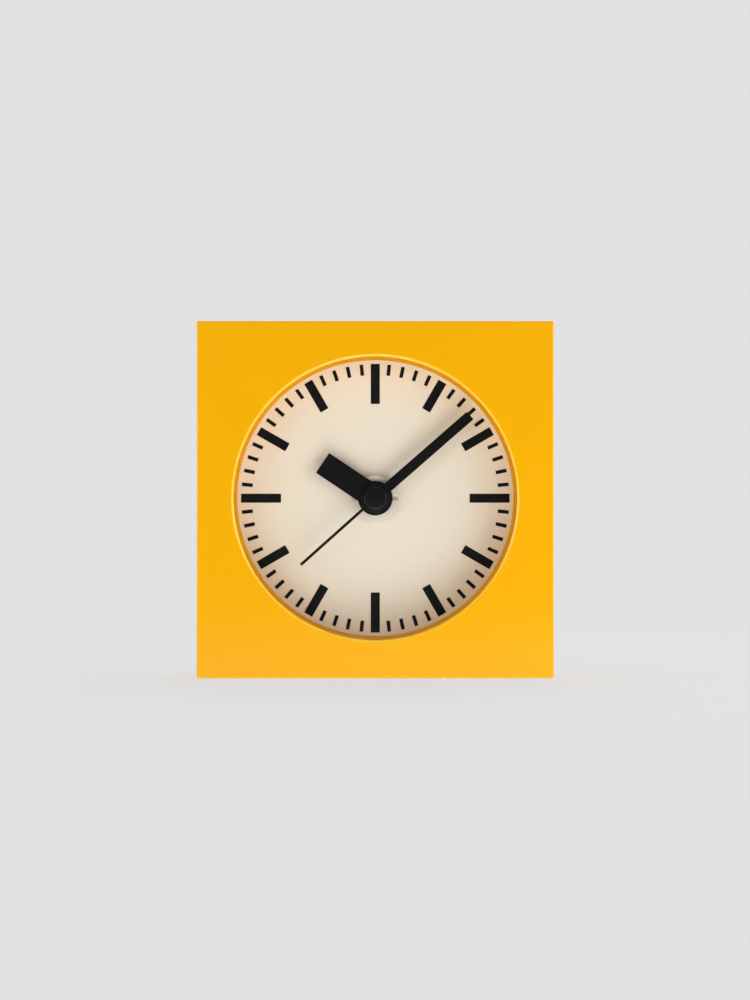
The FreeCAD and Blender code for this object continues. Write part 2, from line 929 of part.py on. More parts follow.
def make_third_wheel():
    """Second reduction: wheel on the seconds pinion, pinion on the centre wheel."""
    shaft = arbor(third_post_depth - pivot_depth + arbor_end_gap, train_pivot_end, third_place)
    return joined(
        shaft,
        [
            pinion(
                third_pinion_teeth, third_module, third_pinion_phase,
                centre_layer_depth, third_place,
            ),
            wheel(
                third_wheel_teeth, seconds_module, third_wheel_phase,
                third_layer_depth, third_place,
            ),
            disc(
                arbor_radius + wheel_hub_wall,
                centre_layer_depth + pinion_length, third_layer_depth + pinion_length, third_place,
            ),
        ],
    )


def make_centre_wheel():
    """Wheel that drives the minute tube through a friction fit."""
    teeth = wheel(centre_wheel_teeth, third_module, to_third, centre_layer_depth)
    hub_start = cannon_layer_depth + pinion_length + layer_gap / 2
    hub_end = centre_layer_depth + pinion_length
    bore = minute_tube_radius + running_fit
    return bored(joined(teeth, [disc(bore + wheel_hub_wall, hub_start, hub_end)]), bore)


# Motion works and hand setting

def make_cannon_pinion():
    """Minute tube with its pinion."""
    tube = disc(minute_tube_radius, above_dial(minute_boss_end), bridge_depth - arbor_end_gap)
    teeth = pinion(cannon_teeth, cannon_module, to_motion, cannon_layer_depth)
    return bored(joined(tube, [teeth]), minute_bore)


def make_motion_wheel():
    """Wheel on the cannon pinion with a pinion on the hour wheel, loose on its stud."""
    teeth = wheel(
        motion_wheel_teeth, cannon_module, motion_wheel_phase, cannon_layer_depth, motion_place
    )
    small = pinion(
        motion_pinion_teeth, hour_module, motion_pinion_phase, hour_layer_depth, motion_place
    )
    hub_radius = motion_stud_radius + running_fit + motion_hub_wall
    hub = disc(
        hub_radius, hour_layer_depth + pinion_length, cannon_layer_depth + pinion_length, motion_place
    )
    return bored(joined(teeth, [small, hub]), motion_stud_radius + running_fit, motion_place)


def make_hour_wheel():
    """Hour wheel with the pipe that carries the hour hand."""
    teeth = wheel(hour_wheel_teeth, hour_module, to_motion, hour_layer_depth)
    pipe = disc(hour_pipe_radius, above_dial(hour_boss_end), hour_layer_depth + pinion_length)
    return bored(joined(teeth, [pipe]), hour_bore)


def make_setting_arbor():
    """Arbor that turns the motion wheel from the back."""
    knob_face = shell_back_depth + knob_start + knob_hub_length
    end = knob_face + knob_bore_depth
    start = setting_post_depth - pivot_depth + arbor_end_gap
    shaft = disc(setting_arbor_radius, start, end, setting_place)
    teeth = pinion(setting_teeth, cannon_module, setting_phase, cannon_layer_depth, setting_place)
    return joined(shaft, [teeth])


def make_setting_knob():
    """Ribbed knob pressed on the setting arbor."""
    start = shell_back_depth + knob_start
    face = start + knob_hub_length
    end = face + knob_thickness
    shape = turned(
        [
            (0, start),
            (knob_hub_radius, start),
            (knob_hub_radius, face),
            (knob_radius, face),
            (knob_radius, end - knob_edge_chamfer),
            (knob_radius - knob_edge_chamfer, end),
            (0, end),
        ],
        setting_place,
    )
    grip_place = knob_radius + knob_grip_radius * knob_grip_share
    for grip in range(knob_grips):
        place = polar(grip_place, math.degrees(full_turn) * grip / knob_grips, setting_place)
        shape = shape.cut(disc(knob_grip_radius, face - overrun, end + overrun, place))
    bore = disc(setting_arbor_radius, start - overrun, face + knob_bore_depth, setting_place)
    return shape.cut(bore)


# Movement housing and bridge

def hook(side, height):
    """Snap hook that holds the lid down."""
    inner = shell_half + hook_fit
    lip_start = shell_back_depth + hook_fit
    lip_end = lip_start + hook_lip_height
    corners = [
        (shell_half - hook_fit, lid_depth - hook_length),
        (inner + hook_thickness, lid_depth - hook_length),
        (inner + hook_thickness, lip_end),
        (inner - hook_lip / 2, lip_end),
        (inner - hook_lip, lip_start),
        (inner, lip_start),
        (inner, lid_depth - hook_length / 2),
        (shell_half - hook_fit, lid_depth - hook_length / 2),
    ]
    outline = [point(side * x, at_depth, height - hook_width / 2) for x, at_depth in corners]
    face = Part.Face(Part.makePolygon(outline + outline[:1]))
    return face.extrude(Vector(0, 0, hook_width))


def make_front_shell():
    """Tray with the gear room, the battery bay and the posts that carry the works."""
    shape = block(-shell_half, shell_half, shell_front_depth, lid_depth, shell_bottom, shell_top)
    for low, high in ((bay_bottom, bay_top), (partition_top, room_top)):
        shape = shape.cut(
            block(-bay_half_length, bay_half_length, shell_floor_depth, lid_depth + overrun, low, high)
        )
    posts = [disc(post_radius, shell_floor_depth, bridge_depth, place) for place in post_places]
    posts += [
        disc(post_radius, shell_floor_depth, stator_start_depth, place) for place in stator_post_places
    ]
    posts += [
        disc(board_post_radius, shell_floor_depth, board_start_depth, place)
        for place in board_post_places
    ]
    posts.append(disc(pivot_boss_radius, shell_floor_depth, third_post_depth, third_place))
    setting_boss_radius = setting_hole_radius + pivot_wall
    posts.append(disc(setting_boss_radius, shell_floor_depth, setting_post_depth, setting_place))
    stud_end = cannon_layer_depth + pinion_length + layer_gap / 2
    posts.append(disc(motion_stud_radius, shell_floor_depth, stud_end, motion_place))
    for side in (-1, 1):
        for share in hook_place_shares:
            posts.append(hook(side, partition_top + share * (room_top - partition_top)))
    shape = bored(joined(shape, posts), bush_radius)
    shape = shape.cut(
        disc(pivot_hole_radius, third_post_depth - pivot_depth, third_post_depth + overrun, third_place)
    )
    shape = shape.cut(
        disc(
            setting_hole_radius,
            setting_post_depth - pivot_depth, setting_post_depth + overrun, setting_place,
        )
    )
    hole_start = bridge_back_depth - bridge_screw_length - pilot_overrun
    for place in post_places:
        shape = shape.cut(disc(bridge_screw_radius, hole_start, bridge_back_depth, place))
    notch = contact_thickness + board_gap
    for side in (-1, 1):
        inner = side * (bay_half_length - notch)
        outer = side * bay_half_length
        shape = shape.cut(
            block(
                min(inner, outer), max(inner, outer),
                tail_start_depth - board_gap, board_end_depth + board_gap,
                bay_top - overrun, partition_top + overrun,
            )
        )
    return shape


def make_rear_shell():
    """Lid over the gear room with the rear pivots."""
    shape = block(-shell_half, shell_half, lid_depth, shell_back_depth, bay_top, shell_top)
    boss_start = train_end_depth
    pivots = (origin, third_place, step_place, rotor_place)
    shape = joined(shape, [disc(pivot_boss_radius, boss_start, lid_depth, place) for place in pivots])
    for place in pivots[1:]:
        shape = shape.cut(disc(pivot_hole_radius, boss_start - overrun, lid_depth, place))
    shape = shape.cut(disc(minute_bore, boss_start - overrun, lid_depth))
    return bored(shape, setting_hole_radius, setting_place)


def make_gear_bridge():
    """Middle plate on four posts, with the front pivots of rotor and step wheel."""
    shape = block(
        -bridge_half, bridge_half, bridge_depth, bridge_back_depth, bridge_bottom, bridge_top
    )
    shape = bored(shape, seconds_arbor_radius + wheel_hub_wall)
    third_pinion_radius = third_module * (third_pinion_teeth / 2 + pinion_tip_share)
    shape = bored(shape, third_pinion_radius + layer_gap, third_place)
    shape = bored(shape, setting_arbor_radius + layer_gap, setting_place)
    for place in (step_place, rotor_place):
        shape = bored(shape, pivot_hole_radius, place)
    for place in post_places:
        shape = bored(shape, bridge_screw_radius + running_fit, place)
    return shape


# Step motor

def make_stator():
    """Flat iron with the rotor's hole and an arm to each end of the coil's core."""
    x, height = rotor_place
    low = height - magnet_radius - magnet_gap - stator_neck
    body_top = low + stator_body_height
    arm_top = coil_axis_height + core_width / 2 + core_end_inset
    inner = stator_half_width - stator_arm_width
    outline = [
        (x - stator_half_width, low),
        (x + stator_half_width, low),
        (x + stator_half_width, arm_top),
        (x + inner, arm_top),
        (x + inner, body_top),
        (x - inner, body_top),
        (x - inner, arm_top),
        (x - stator_half_width, arm_top),
    ]
    shape = plate(outline, stator_start_depth, stator_end_depth)
    return bored(shape, magnet_radius + magnet_gap, rotor_place)


def core_bar(half_length, width, start, end):
    """Bar along the coil's axis."""
    return block(
        rotor_place[0] - half_length, rotor_place[0] + half_length,
        start, end,
        coil_axis_height - width / 2, coil_axis_height + width / 2,
    )


def coil_cylinder(radius, start, end):
    """Cylinder along the coil's axis, between two places counted from its middle."""
    base = point(rotor_place[0] + start, coil_axis_depth, coil_axis_height)
    return Part.makeCylinder(radius, end - start, base, sideways)


def make_coil_core():
    """Iron bar through the coil, lying on the stator's arms."""
    return core_bar(stator_half_width - core_end_inset, core_width, stator_end_depth, core_end_depth)


def make_coil_bobbin():
    """Spool with a flange at each end."""
    shape = joined(
        coil_cylinder(spool_radius, -bobbin_half, bobbin_half),
        [
            coil_cylinder(flange_radius, -bobbin_half, bobbin_wall - bobbin_half),
            coil_cylinder(flange_radius, bobbin_half - bobbin_wall, bobbin_half),
        ],
    )
    return shape.cut(core_bar(bobbin_half + overrun, core_width, stator_end_depth, core_end_depth))


def make_coil_winding():
    """Copper winding between the flanges."""
    half = bobbin_half - bobbin_wall
    return coil_cylinder(winding_radius, -half, half).cut(coil_cylinder(spool_radius, -half, half))


# Battery and contacts

def make_battery_cell():
    """Single cell lying in the bay, its nub to the left as seen from the front."""
    can_left = battery_left + battery_nub_length
    base = point(can_left, battery_axis_depth, battery_height)
    can = Part.makeCylinder(battery_diameter / 2, battery_right - can_left, base, sideways)
    can = can.makeFillet(battery_edge_radius, [edge for edge in can.Edges if edge.Closed])
    nub_base = point(battery_left, battery_axis_depth, battery_height)
    nub = Part.makeCylinder(battery_nub_radius, 2 * battery_nub_length, nub_base, sideways)
    return joined(can, [nub])


def contact_strip(side, low, high, start, end):
    """Strip flat against a side wall of the movement."""
    inner = side * (bay_half_length - contact_thickness)
    outer = side * bay_half_length
    return block(min(inner, outer), max(inner, outer), start, end, low, high)


def contact_blade(side):
    """Blade in the bay with a tail that rises past the partition to the board."""
    low = battery_height - contact_height / 2
    blade = contact_strip(
        side, low, low + contact_height, tail_start_depth, bay_end_depth - contact_setback
    )
    tail = contact_strip(side, low, board_top, tail_start_depth, board_end_depth)
    return joined(blade, [tail])


def make_positive_contact():
    """Flat contact at the battery's nub."""
    return contact_blade(-1)


def make_negative_contact():
    """Contact with a bowed leaf, its tail led along the top wall to the board."""
    root = bay_half_length - contact_thickness
    crest = battery_right + battery_seat
    start = battery_axis_depth - contact_height / 2
    end = battery_axis_depth + contact_height / 2
    low = battery_height - leaf_width / 2
    thickness = contact_thickness

    def at(x, at_depth):
        return point(x, at_depth, low)

    edges = [
        Part.Arc(at(root, start), at(crest, battery_axis_depth), at(root, end)),
        Part.LineSegment(at(root, end), at(root, end - thickness)),
        Part.Arc(
            at(root, end - thickness), at(crest + thickness, battery_axis_depth),
            at(root, start + thickness),
        ),
        Part.LineSegment(at(root, start + thickness), at(root, start)),
    ]
    leaf = Part.Face(Part.Wire([edge.toShape() for edge in edges])).extrude(Vector(0, 0, leaf_width))
    blade = contact_blade(1)
    rise = contact_strip(1, battery_height, room_top, tail_start_depth, board_end_depth)
    run = block(
        board_right - contact_tail_width, bay_half_length,
        tail_start_depth, board_end_depth,
        room_top - contact_thickness, room_top,
    )
    return joined(blade, [leaf, rise, run])


# Circuit board and what is on it

def along_board(share):
    """Sideways place on the board."""
    return board_left + share * (board_right - board_left)


def make_circuit_board():
    """Board on two posts, touching both contacts' tails."""
    return block(board_left, board_right, board_start_depth, board_end_depth, board_bottom, board_top)


def make_control_chip():
    """Blob of resin over the chip."""
    base = point(along_board(chip_place_share), board_end_depth, board_middle)
    return Part.makeCone(chip_radius, chip_radius / 2, chip_height, base, backward)


def make_quartz_crystal():
    """Crystal can lying on the board."""
    start = along_board(crystal_place_share) - crystal_length / 2
    base = point(start, board_end_depth + crystal_radius, board_middle)
    return Part.makeCylinder(crystal_radius, crystal_length, base, sideways)


# Rear cover and battery door

def make_rear_cover():
    """Flat cover on the pillars, with a well for the knob and a stepped battery window."""
    half = inside_half - plastic_fit
    shape = Part.makeBox(
        2 * half, cover_thickness, 2 * half,
        Vector(-half, depth(cover_front_depth), case_half - half),
    )
    upright = [edge for edge in shape.Edges if edge.BoundBox.YLength > cover_thickness / 2]
    shape = shape.makeFillet(cover_corner_radius, upright)
    for place in pillar_places:
        shape = bored(shape, cover_screw_radius + screw_hole_fit, place)
    shape = bored(shape, knob_radius + knob_well_gap, setting_place)
    shape = shape.cut(
        block(
            -window_half, window_half,
            cover_front_depth - overrun, cover_back_depth, window_low, window_high,
        )
    )
    shape = shape.cut(
        block(
            -ledge_half, ledge_half,
            door_front_depth - door_seat, cover_back_depth + overrun, ledge_low, ledge_high,
        )
    )
    pin_reach = ledge_half + door_pin_length
    pin_hole = Part.makeCylinder(
        door_pin_radius + running_fit, 2 * pin_reach,
        point(-pin_reach, door_axis_depth, door_axis_height), sideways,
    )
    notch = disc(
        door_notch_radius, cover_back_depth - door_notch_depth, cover_back_depth + overrun,
        (0, ledge_low),
    )
    return shape.cut(pin_hole).cut(notch)


def make_battery_door():
    """Door that swings on two moulded pins, its hinged edge rounded about them."""
    half = ledge_half - plastic_fit
    panel = block(
        -half, half,
        door_front_depth, door_front_depth + door_thickness,
        ledge_low + plastic_fit, door_axis_height,
    )
    barrel = Part.makeCylinder(
        door_barrel_radius, 2 * half, point(-half, door_axis_depth, door_axis_height), sideways
    )
    pin_half = half + door_pin_length
    pins = Part.makeCylinder(
        door_pin_radius, 2 * pin_half, point(-pin_half, door_axis_depth, door_axis_height), sideways
    )
    return joined(panel, [barrel, pins])


sub_parts = {
    "case": make_case,
    "lens": make_lens,
    "reveal_ring": make_reveal_ring,
    "dial": make_dial,
    "hour_marks": make_hour_marks,
    "minute_marks": make_minute_marks,
    "dial_screws": make_dial_screws,
    "rear_cover": make_rear_cover,
    "cover_screws": make_cover_screws,
    "battery_door": make_battery_door,
    "shaft_nut": make_shaft_nut,
    "shaft_washer": make_shaft_washer,
    "threaded_bush": make_threaded_bush,
    "hour_hand": make_hour_hand,
    "minute_hand": make_minute_hand,
    "seconds_hand": make_seconds_hand,
    "movement_front_shell": make_front_shell,
    "movement_rear_shell": make_rear_shell,
    "gear_bridge": make_gear_bridge,
    "bridge_screws": make_bridge_screws,
    "rotor_magnet": make_rotor_magnet,
    "rotor_pinion": make_rotor_pinion,
    "step_wheel": make_step_wheel,
    "seconds_wheel": make_seconds_wheel,
    "seconds_arbor": make_seconds_arbor,
    "third_wheel": make_third_wheel,
    "centre_wheel": make_centre_wheel,
    "cannon_pinion": make_cannon_pinion,
    "motion_wheel": make_motion_wheel,
    "hour_wheel": make_hour_wheel,
    "setting_arbor": make_setting_arbor,
    "setting_knob": make_setting_knob,
    "stator": make_stator,
    "coil_core": make_coil_core,
    "coil_bobbin": make_coil_bobbin,
    "coil_winding": make_coil_winding,
    "battery_cell": make_battery_cell,
    "positive_contact": make_positive_contact,
    "negative_contact": make_negative_contact,
    "circuit_board": make_circuit_board,
    "control_chip": make_control_chip,
    "quartz_crystal": make_quartz_crystal,
}

os.makedirs("parts", exist_ok=True)
for name, make in sub_parts.items():
    make().exportStep("parts/" + name + ".step")
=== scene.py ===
import json
import math

import bmesh
import bpy
from mathutils import Matrix, Vector

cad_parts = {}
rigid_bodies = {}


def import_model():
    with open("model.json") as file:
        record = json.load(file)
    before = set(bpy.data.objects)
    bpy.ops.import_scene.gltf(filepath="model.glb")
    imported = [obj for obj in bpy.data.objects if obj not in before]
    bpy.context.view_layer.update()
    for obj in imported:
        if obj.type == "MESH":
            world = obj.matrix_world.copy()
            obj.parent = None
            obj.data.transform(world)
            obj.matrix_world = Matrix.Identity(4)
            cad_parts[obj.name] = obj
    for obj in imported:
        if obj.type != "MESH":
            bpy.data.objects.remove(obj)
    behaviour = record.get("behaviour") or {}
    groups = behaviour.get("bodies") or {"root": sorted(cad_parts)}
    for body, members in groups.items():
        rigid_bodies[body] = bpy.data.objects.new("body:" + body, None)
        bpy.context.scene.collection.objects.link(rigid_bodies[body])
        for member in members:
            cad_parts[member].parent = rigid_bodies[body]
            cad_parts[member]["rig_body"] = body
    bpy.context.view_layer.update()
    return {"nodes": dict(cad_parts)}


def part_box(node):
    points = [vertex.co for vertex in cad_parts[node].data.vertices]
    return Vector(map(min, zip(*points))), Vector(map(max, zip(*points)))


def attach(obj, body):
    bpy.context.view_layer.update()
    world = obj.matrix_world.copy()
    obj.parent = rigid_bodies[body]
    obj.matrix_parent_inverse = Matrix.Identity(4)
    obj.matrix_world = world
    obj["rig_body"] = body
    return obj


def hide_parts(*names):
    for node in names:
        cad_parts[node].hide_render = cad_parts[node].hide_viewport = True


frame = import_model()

# Case: one deep tub of glossy yellow plastic, moulded in one piece and open at the back.
# The round opening has a rolled edge. A collar, four bosses and four pillars stand inside
# on the front panel and take the window, the dial screws and the cover screws.
case_low, case_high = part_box("case")
lens_low, lens_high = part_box("lens")
dial_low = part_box("dial")[0]
cover_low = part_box("rear_cover")[0]
case_middle = (case_low + case_high) / 2
shaft = (lens_low + lens_high) / 2
case_half = (case_high.x - case_low.x) / 2
case_wall = 0.0025
inside_half = case_half - case_wall
case_edge = 0.0005
rim_edge = 0.0002
lens_radius = (lens_high.x - lens_low.x) / 2
lens_overlap = 0.0026
opening_radius = lens_radius - lens_overlap
opening_roll = 0.0009
opening_draft = 0.00012
lens_play, collar_wall, collar_gap = 0.0002, 0.0018, 0.0020
collar_inner_radius = lens_radius + lens_play
collar_outer_radius = collar_inner_radius + collar_wall
collar_back = dial_low.y - collar_gap
dial_screw_head = 0.0021
cover_screw_head = 0.0024
boss_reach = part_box("dial_screws")[1].x - dial_screw_head
boss_radius, boss_bore, boss_bore_depth = 0.0029, 0.0010, 0.0055
pillar_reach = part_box("cover_screws")[1].x - cover_screw_head
pillar_radius, pillar_bore, pillar_bore_depth = 0.0031, 0.00125, 0.0064
rib_half = 0.0006
sink = 0.0002
panel_root = lens_low.y - sink
quarter_turn = math.pi / 2
full_turn = 2 * math.pi
smallest_corner = 0.00002
corner_steps = 8
side_steps = 40
case_sides = 4 * (corner_steps + side_steps)
edge_steps = 5
roll_steps = 10
tube_sides = 48
merge_distance = 0.000001
smooth_angle = math.radians(35)
drift_size, gloss_size, wave_size = 0.030, 0.011, 0.022
wave_depth = 0.00002
# Painted highlight on the opening's rolled edge: where the pale band starts and ends across the
# roll, and its colour.
highlight_band_starts, highlight_band_ends = (0.10, 0.40), (0.60, 1.00)
painted_highlight_yellow = (0.90, 0.58, 0.060, 1.0)


def rounding(steps):
    """Rise and run of a quarter round, step by step."""
    turns = [quarter_turn * step / steps for step in range(steps + 1)]
    return [(math.sin(turn), 1 - math.cos(turn)) for turn in turns]


def circle(radius, y, middle, sides=tube_sides, start=0.0):
    """Ring of points about an axis along Y."""
    turns = [start + full_turn * side / sides for side in range(sides)]
    return [
        Vector((middle.x + radius * math.cos(turn), y, middle.z + radius * math.sin(turn)))
        for turn in turns
    ]


def rounded_square(half, corner, y, middle):
    """Ring of points round a square with rounded corners, as many as the case has sides."""
    points = []
    for turns in range(4):
        quarter = Matrix.Rotation(-turns * quarter_turn, 3, "Y")
        for step in range(corner_steps + side_steps):
            if step <= corner_steps:
                turn = quarter_turn * step / corner_steps
                across = half - corner + corner * math.cos(turn)
                up = half - corner + corner * math.sin(turn)
            else:
                share = (step - corner_steps) / side_steps
                across = (half - corner) * (1 - 2 * share)
                up = half
            points.append(Vector((middle.x, y, middle.z)) + quarter @ Vector((across, 0, up)))
    return points


def loft(shape, rings, closed=False):
    """Walls from ring to ring; closed joins the last to the first."""
    rows = [[shape.verts.new(point) for point in ring] for ring in rings]
    following = rows[1:] + rows[:1] if closed else rows[1:]
    for row, mate in zip(rows, following):
        for side in range(len(row)):
            after = (side + 1) % len(row)
            shape.faces.new((row[side], row[after], mate[after], mate[side]))


def turned(shape, profile, middle, closed=False, sides=tube_sides):
    """Round form about an axis along Y from (radius, y) corners."""
    loft(shape, [circle(radius, y, middle, sides) for radius, y in profile], closed)


def block(shape, low, high, edge=0.0, turn=None):
    """Box between two corners, its edges rounded and the whole turned."""
    made = bmesh.ops.create_cube(shape, size=1.0)["verts"]
    low, high = Vector(low), Vector(high)
    for vert in made:
        vert.co = (low + high) / 2 + Vector(
            share * span for share, span in zip(vert.co, high - low)
        )
    if edge:
        edges = list({line for vert in made for line in vert.link_edges})
        rounded = bmesh.ops.bevel(
            shape, geom=edges, offset=edge, segments=2, profile=0.5, affect="EDGES"
        )
        made = list({vert for face in rounded["faces"] for vert in face.verts} | {
            vert for vert in made if vert.is_valid
        })
    if turn:
        bmesh.ops.transform(shape, matrix=turn, verts=made)


def new_piece(name, shape):
    """Object at the origin from a shape, its faces outwards, its shading smooth."""
    bmesh.ops.remove_doubles(shape, verts=shape.verts, dist=merge_distance)
    bmesh.ops.recalc_face_normals(shape, faces=shape.faces)
    mesh = bpy.data.meshes.new(name)
    shape.to_mesh(mesh)
    shape.free()
    mesh.shade_smooth()
    mesh.set_sharp_from_angle(angle=smooth_angle)
    piece = bpy.data.objects.new(name, mesh)
    bpy.context.scene.collection.objects.link(piece)
    return piece


def even_shading(piece):
    """Flat faces stay flat up to their rounded edges."""
    weighted = piece.modifiers.new("Even shading", "WEIGHTED_NORMAL")
    weighted.keep_sharp = True


def stand_for(piece, finish, slot, *nodes):
    """Gives a piece its finish and lets it stand for CAD nodes, on their body."""
    piece.data.materials.clear()
    piece.data.materials.append(finish)
    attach(piece, frame["nodes"][nodes[0]]["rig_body"])
    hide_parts(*nodes)


class Flow:
    """What comes out of a node. A sum on numbers adds a Math node."""

    def __init__(self, nodes, socket):
        self.nodes = nodes
        self.socket = socket

    def output(self, name):
        return Flow(self.nodes, self.socket.node.outputs[name])

    def sum(self, operation, first, second):
        return self.nodes.node("ShaderNodeMath", {"operation": operation}, {0: first, 1: second})

    def __add__(self, other):
        return self.sum("ADD", self, other)

    def __radd__(self, other):
        return self.sum("ADD", other, self)

    def __sub__(self, other):
        return self.sum("SUBTRACT", self, other)

    def __rsub__(self, other):
        return self.sum("SUBTRACT", other, self)

    def __mul__(self, other):
        return self.sum("MULTIPLY", self, other)

    def __rmul__(self, other):
        return self.sum("MULTIPLY", other, self)

    def __truediv__(self, other):
        return self.sum("DIVIDE", self, other)

    def __mod__(self, other):
        return self.sum("FLOORED_MODULO", self, other)

    def __lt__(self, other):
        return self.sum("LESS_THAN", self, other)

    def __gt__(self, other):
        return self.sum("GREATER_THAN", self, other)


class Nodes:
    """A node tree whose nodes all come from one method."""

    def __init__(self, tree):
        self.tree = tree

    def node(self, kind, settings=None, inputs=None):
        made = self.tree.nodes.new(kind)
        for name, value in (settings or {}).items():
            setattr(made, name, value)
        for name, value in (inputs or {}).items():
            if isinstance(name, int):
                socket = made.inputs[name]
            else:
                named = [s for s in made.inputs if s.identifier == name]
                socket = (named or [s for s in made.inputs if s.name == name])[0]
            if isinstance(value, Flow):
                self.tree.links.new(value.socket, socket)
            else:
                socket.default_value = value
        outputs = [s for s in made.outputs if s.enabled]
        return Flow(self, outputs[0]) if outputs else None


class Finish(Nodes):
    """A surface's material, built from the place on the object."""

    def __init__(self, name):
        self.material = bpy.data.materials.new(name)
        self.material.use_nodes = True
        super().__init__(self.material.node_tree)
        self.tree.nodes.clear()
        self.place = self.node("ShaderNodeTexCoord").output("Object")

    def noise(self, size, detail=2.0, place=None):
        """Cloudy pattern from 0 to 1 whose patches have about this size in metres."""
        return self.node(
            "ShaderNodeTexNoise", {},
            {"Vector": place or self.place, "Scale": 1 / size, "Detail": detail},
        )

    def stretched(self, scale):
        """The place, squeezed along the axes."""
        return self.node("ShaderNodeMapping", {}, {"Vector": self.place, "Scale": scale})

    def radius(self):
        """Distance from the shaft's line."""
        away = self.node(
            "ShaderNodeVectorMath", {"operation": "SUBTRACT"}, {0: self.place, 1: shaft}
        )
        flat = self.node(
            "ShaderNodeVectorMath", {"operation": "MULTIPLY"}, {0: away, 1: (1.0, 0.0, 1.0)}
        )
        return self.node(
            "ShaderNodeVectorMath", {"operation": "LENGTH"}, {0: flat}
        ).output("Value")

    def between(self, share, first, second):
        """Colour between two others."""
        return self.node(
            "ShaderNodeMix", {"data_type": "RGBA"},
            {"Factor_Float": share, "A_Color": first, "B_Color": second},
        )

    def bump(self, height, depth):
        """Normal that rises and falls with a pattern by a depth in metres."""
        return self.node("ShaderNodeBump", {}, {"Height": height, "Distance": depth})

    def surface(self, colour, roughness, normal=None, **others):
        """Principled surface."""
        inputs = {"Base Color": colour, "Roughness": roughness}
        if normal:
            inputs["Normal"] = normal
        inputs.update({name.replace("_", " "): value for name, value in others.items()})
        return self.node("ShaderNodeBsdfPrincipled", {}, inputs)

    def done(self, shader):
        """Ends the tree and gives the material."""
        self.node("ShaderNodeOutputMaterial", {}, {"Surface": shader})
        return self.material


def shades(colour, spread):
    """A darker and a lighter shade of a colour."""
    darker = [channel * (1 - spread) for channel in colour]
    lighter = [min(1.0, channel * (1 + spread)) for channel in colour]
    return darker + [1.0], lighter + [1.0]


def moulded(
    name, colour, spread, roughness, gloss_drift, grain_size, grain_depth, shine=0.5, painted_rim_highlight=None
):
    """Moulded plastic: a slow drift of shade and gloss, a fine grain and perhaps a painted
    highlight round a bore.
    """
    finish = Finish(name)
    drift = finish.noise(drift_size)
    gloss = finish.noise(gloss_size, detail=4.0)
    grain = finish.noise(grain_size, detail=3.0)
    waves = finish.noise(wave_size, detail=1.0)
    darker, lighter = shades(colour, spread)
    shade = finish.between(drift, darker, lighter)
    # A pale band painted round the bore stands for the highlight on its rolled edge.
    if painted_rim_highlight:
        radius, width, pale = painted_rim_highlight
        inner, outer = (
            finish.node(
                "ShaderNodeMapRange", {"interpolation_type": "SMOOTHSTEP"},
                {
                    "Value": finish.radius(),
                    "From Min": radius + width * start, "From Max": radius + width * end,
                },
            )
            for start, end in (highlight_band_starts, highlight_band_ends)
        )
        shade = finish.between(inner * (1 - outer), shade, pale)
    return finish.done(
        finish.surface(
            colour=shade,
            roughness=roughness + gloss_drift * (gloss - 0.5),
            normal=finish.bump(grain * grain_depth + waves * wave_depth, depth=1.0),
            Specular_IOR_Level=shine,
        )
    )


# The case's yellow carries a painted highlight: a pale band on the rolled edge of the opening.
yellow_plastic = moulded(
    "yellow_plastic", (0.890, 0.425, 0.0003), spread=0.02, roughness=0.15, gloss_drift=0.05,
    grain_size=0.0007, grain_depth=0.0000012, shine=0.40,
    painted_rim_highlight=(opening_radius, opening_roll, painted_highlight_yellow),
)

tub = bmesh.new()
first_side = quarter_turn / 2 - full_turn * corner_steps / 2 / case_sides
rings = [circle(opening_radius + opening_draft, lens_low.y, shaft, case_sides, first_side)]
for rise, run in rounding(roll_steps):
    rings.append(
        circle(
            opening_radius + opening_roll * run, case_low.y + opening_roll * (1 - rise), shaft,
            case_sides, first_side,
        )
    )
for rise, run in rounding(edge_steps):
    rings.append(
        rounded_square(
            case_half - case_edge * (1 - rise), max(case_edge * rise, smallest_corner),
            case_low.y + case_edge * run, case_middle,
        )
    )
for rise, run in rounding(edge_steps):
    rings.append(
        rounded_square(
            case_half - case_edge * run, max(case_edge * (1 - run), smallest_corner),
            case_high.y - case_edge * (1 - rise), case_middle,
        )
    )
for rise, run in rounding(edge_steps):
    rings.append(
        rounded_square(
            inside_half + rim_edge * (1 - rise), case_edge,
            case_high.y - rim_edge * run, case_middle,
        )
    )
rings.append(rounded_square(inside_half, case_edge, lens_low.y, case_middle))
loft(tub, rings, closed=True)
turned(
    tub,
    [
        (collar_inner_radius, panel_root), (collar_outer_radius, panel_root),
        (collar_outer_radius, collar_back), (collar_inner_radius, collar_back),
    ],
    shaft, closed=True, sides=case_sides,
)
for side_x in (-1, 1):
    for side_z in (-1, 1):
        for middle, reach, top, radius, bore, depth in (
            (shaft, boss_reach, dial_low.y, boss_radius, boss_bore, boss_bore_depth),
            (
                case_middle, pillar_reach, cover_low.y,
                pillar_radius, pillar_bore, pillar_bore_depth,
            ),
        ):
            turned(
                tub,
                [
                    (0, panel_root), (radius, panel_root), (radius, top),
                    (bore, top), (bore, top - depth), (0, top - depth),
                ],
                middle + Vector((side_x * reach, 0, side_z * reach)),
            )
        pillar = case_middle + Vector((side_x * pillar_reach, 0, side_z * pillar_reach))
        wall = case_middle + Vector((side_x, 0, side_z)) * (inside_half + sink)
        pillar_wall = pillar_bore + sink
        block(
            tub,
            (min(pillar.x + side_x * pillar_wall, wall.x), panel_root, pillar.z - rib_half),
            (max(pillar.x + side_x * pillar_wall, wall.x), cover_low.y, pillar.z + rib_half),
        )
        block(
            tub,
            (pillar.x - rib_half, panel_root, min(pillar.z + side_z * pillar_wall, wall.z)),
            (pillar.x + rib_half, cover_low.y, max(pillar.z + side_z * pillar_wall, wall.z)),
        )
yellow_case = new_piece("yellow_case", tub)
even_shading(yellow_case)
stand_for(yellow_case, yellow_plastic, "yellow_plastic", "case")

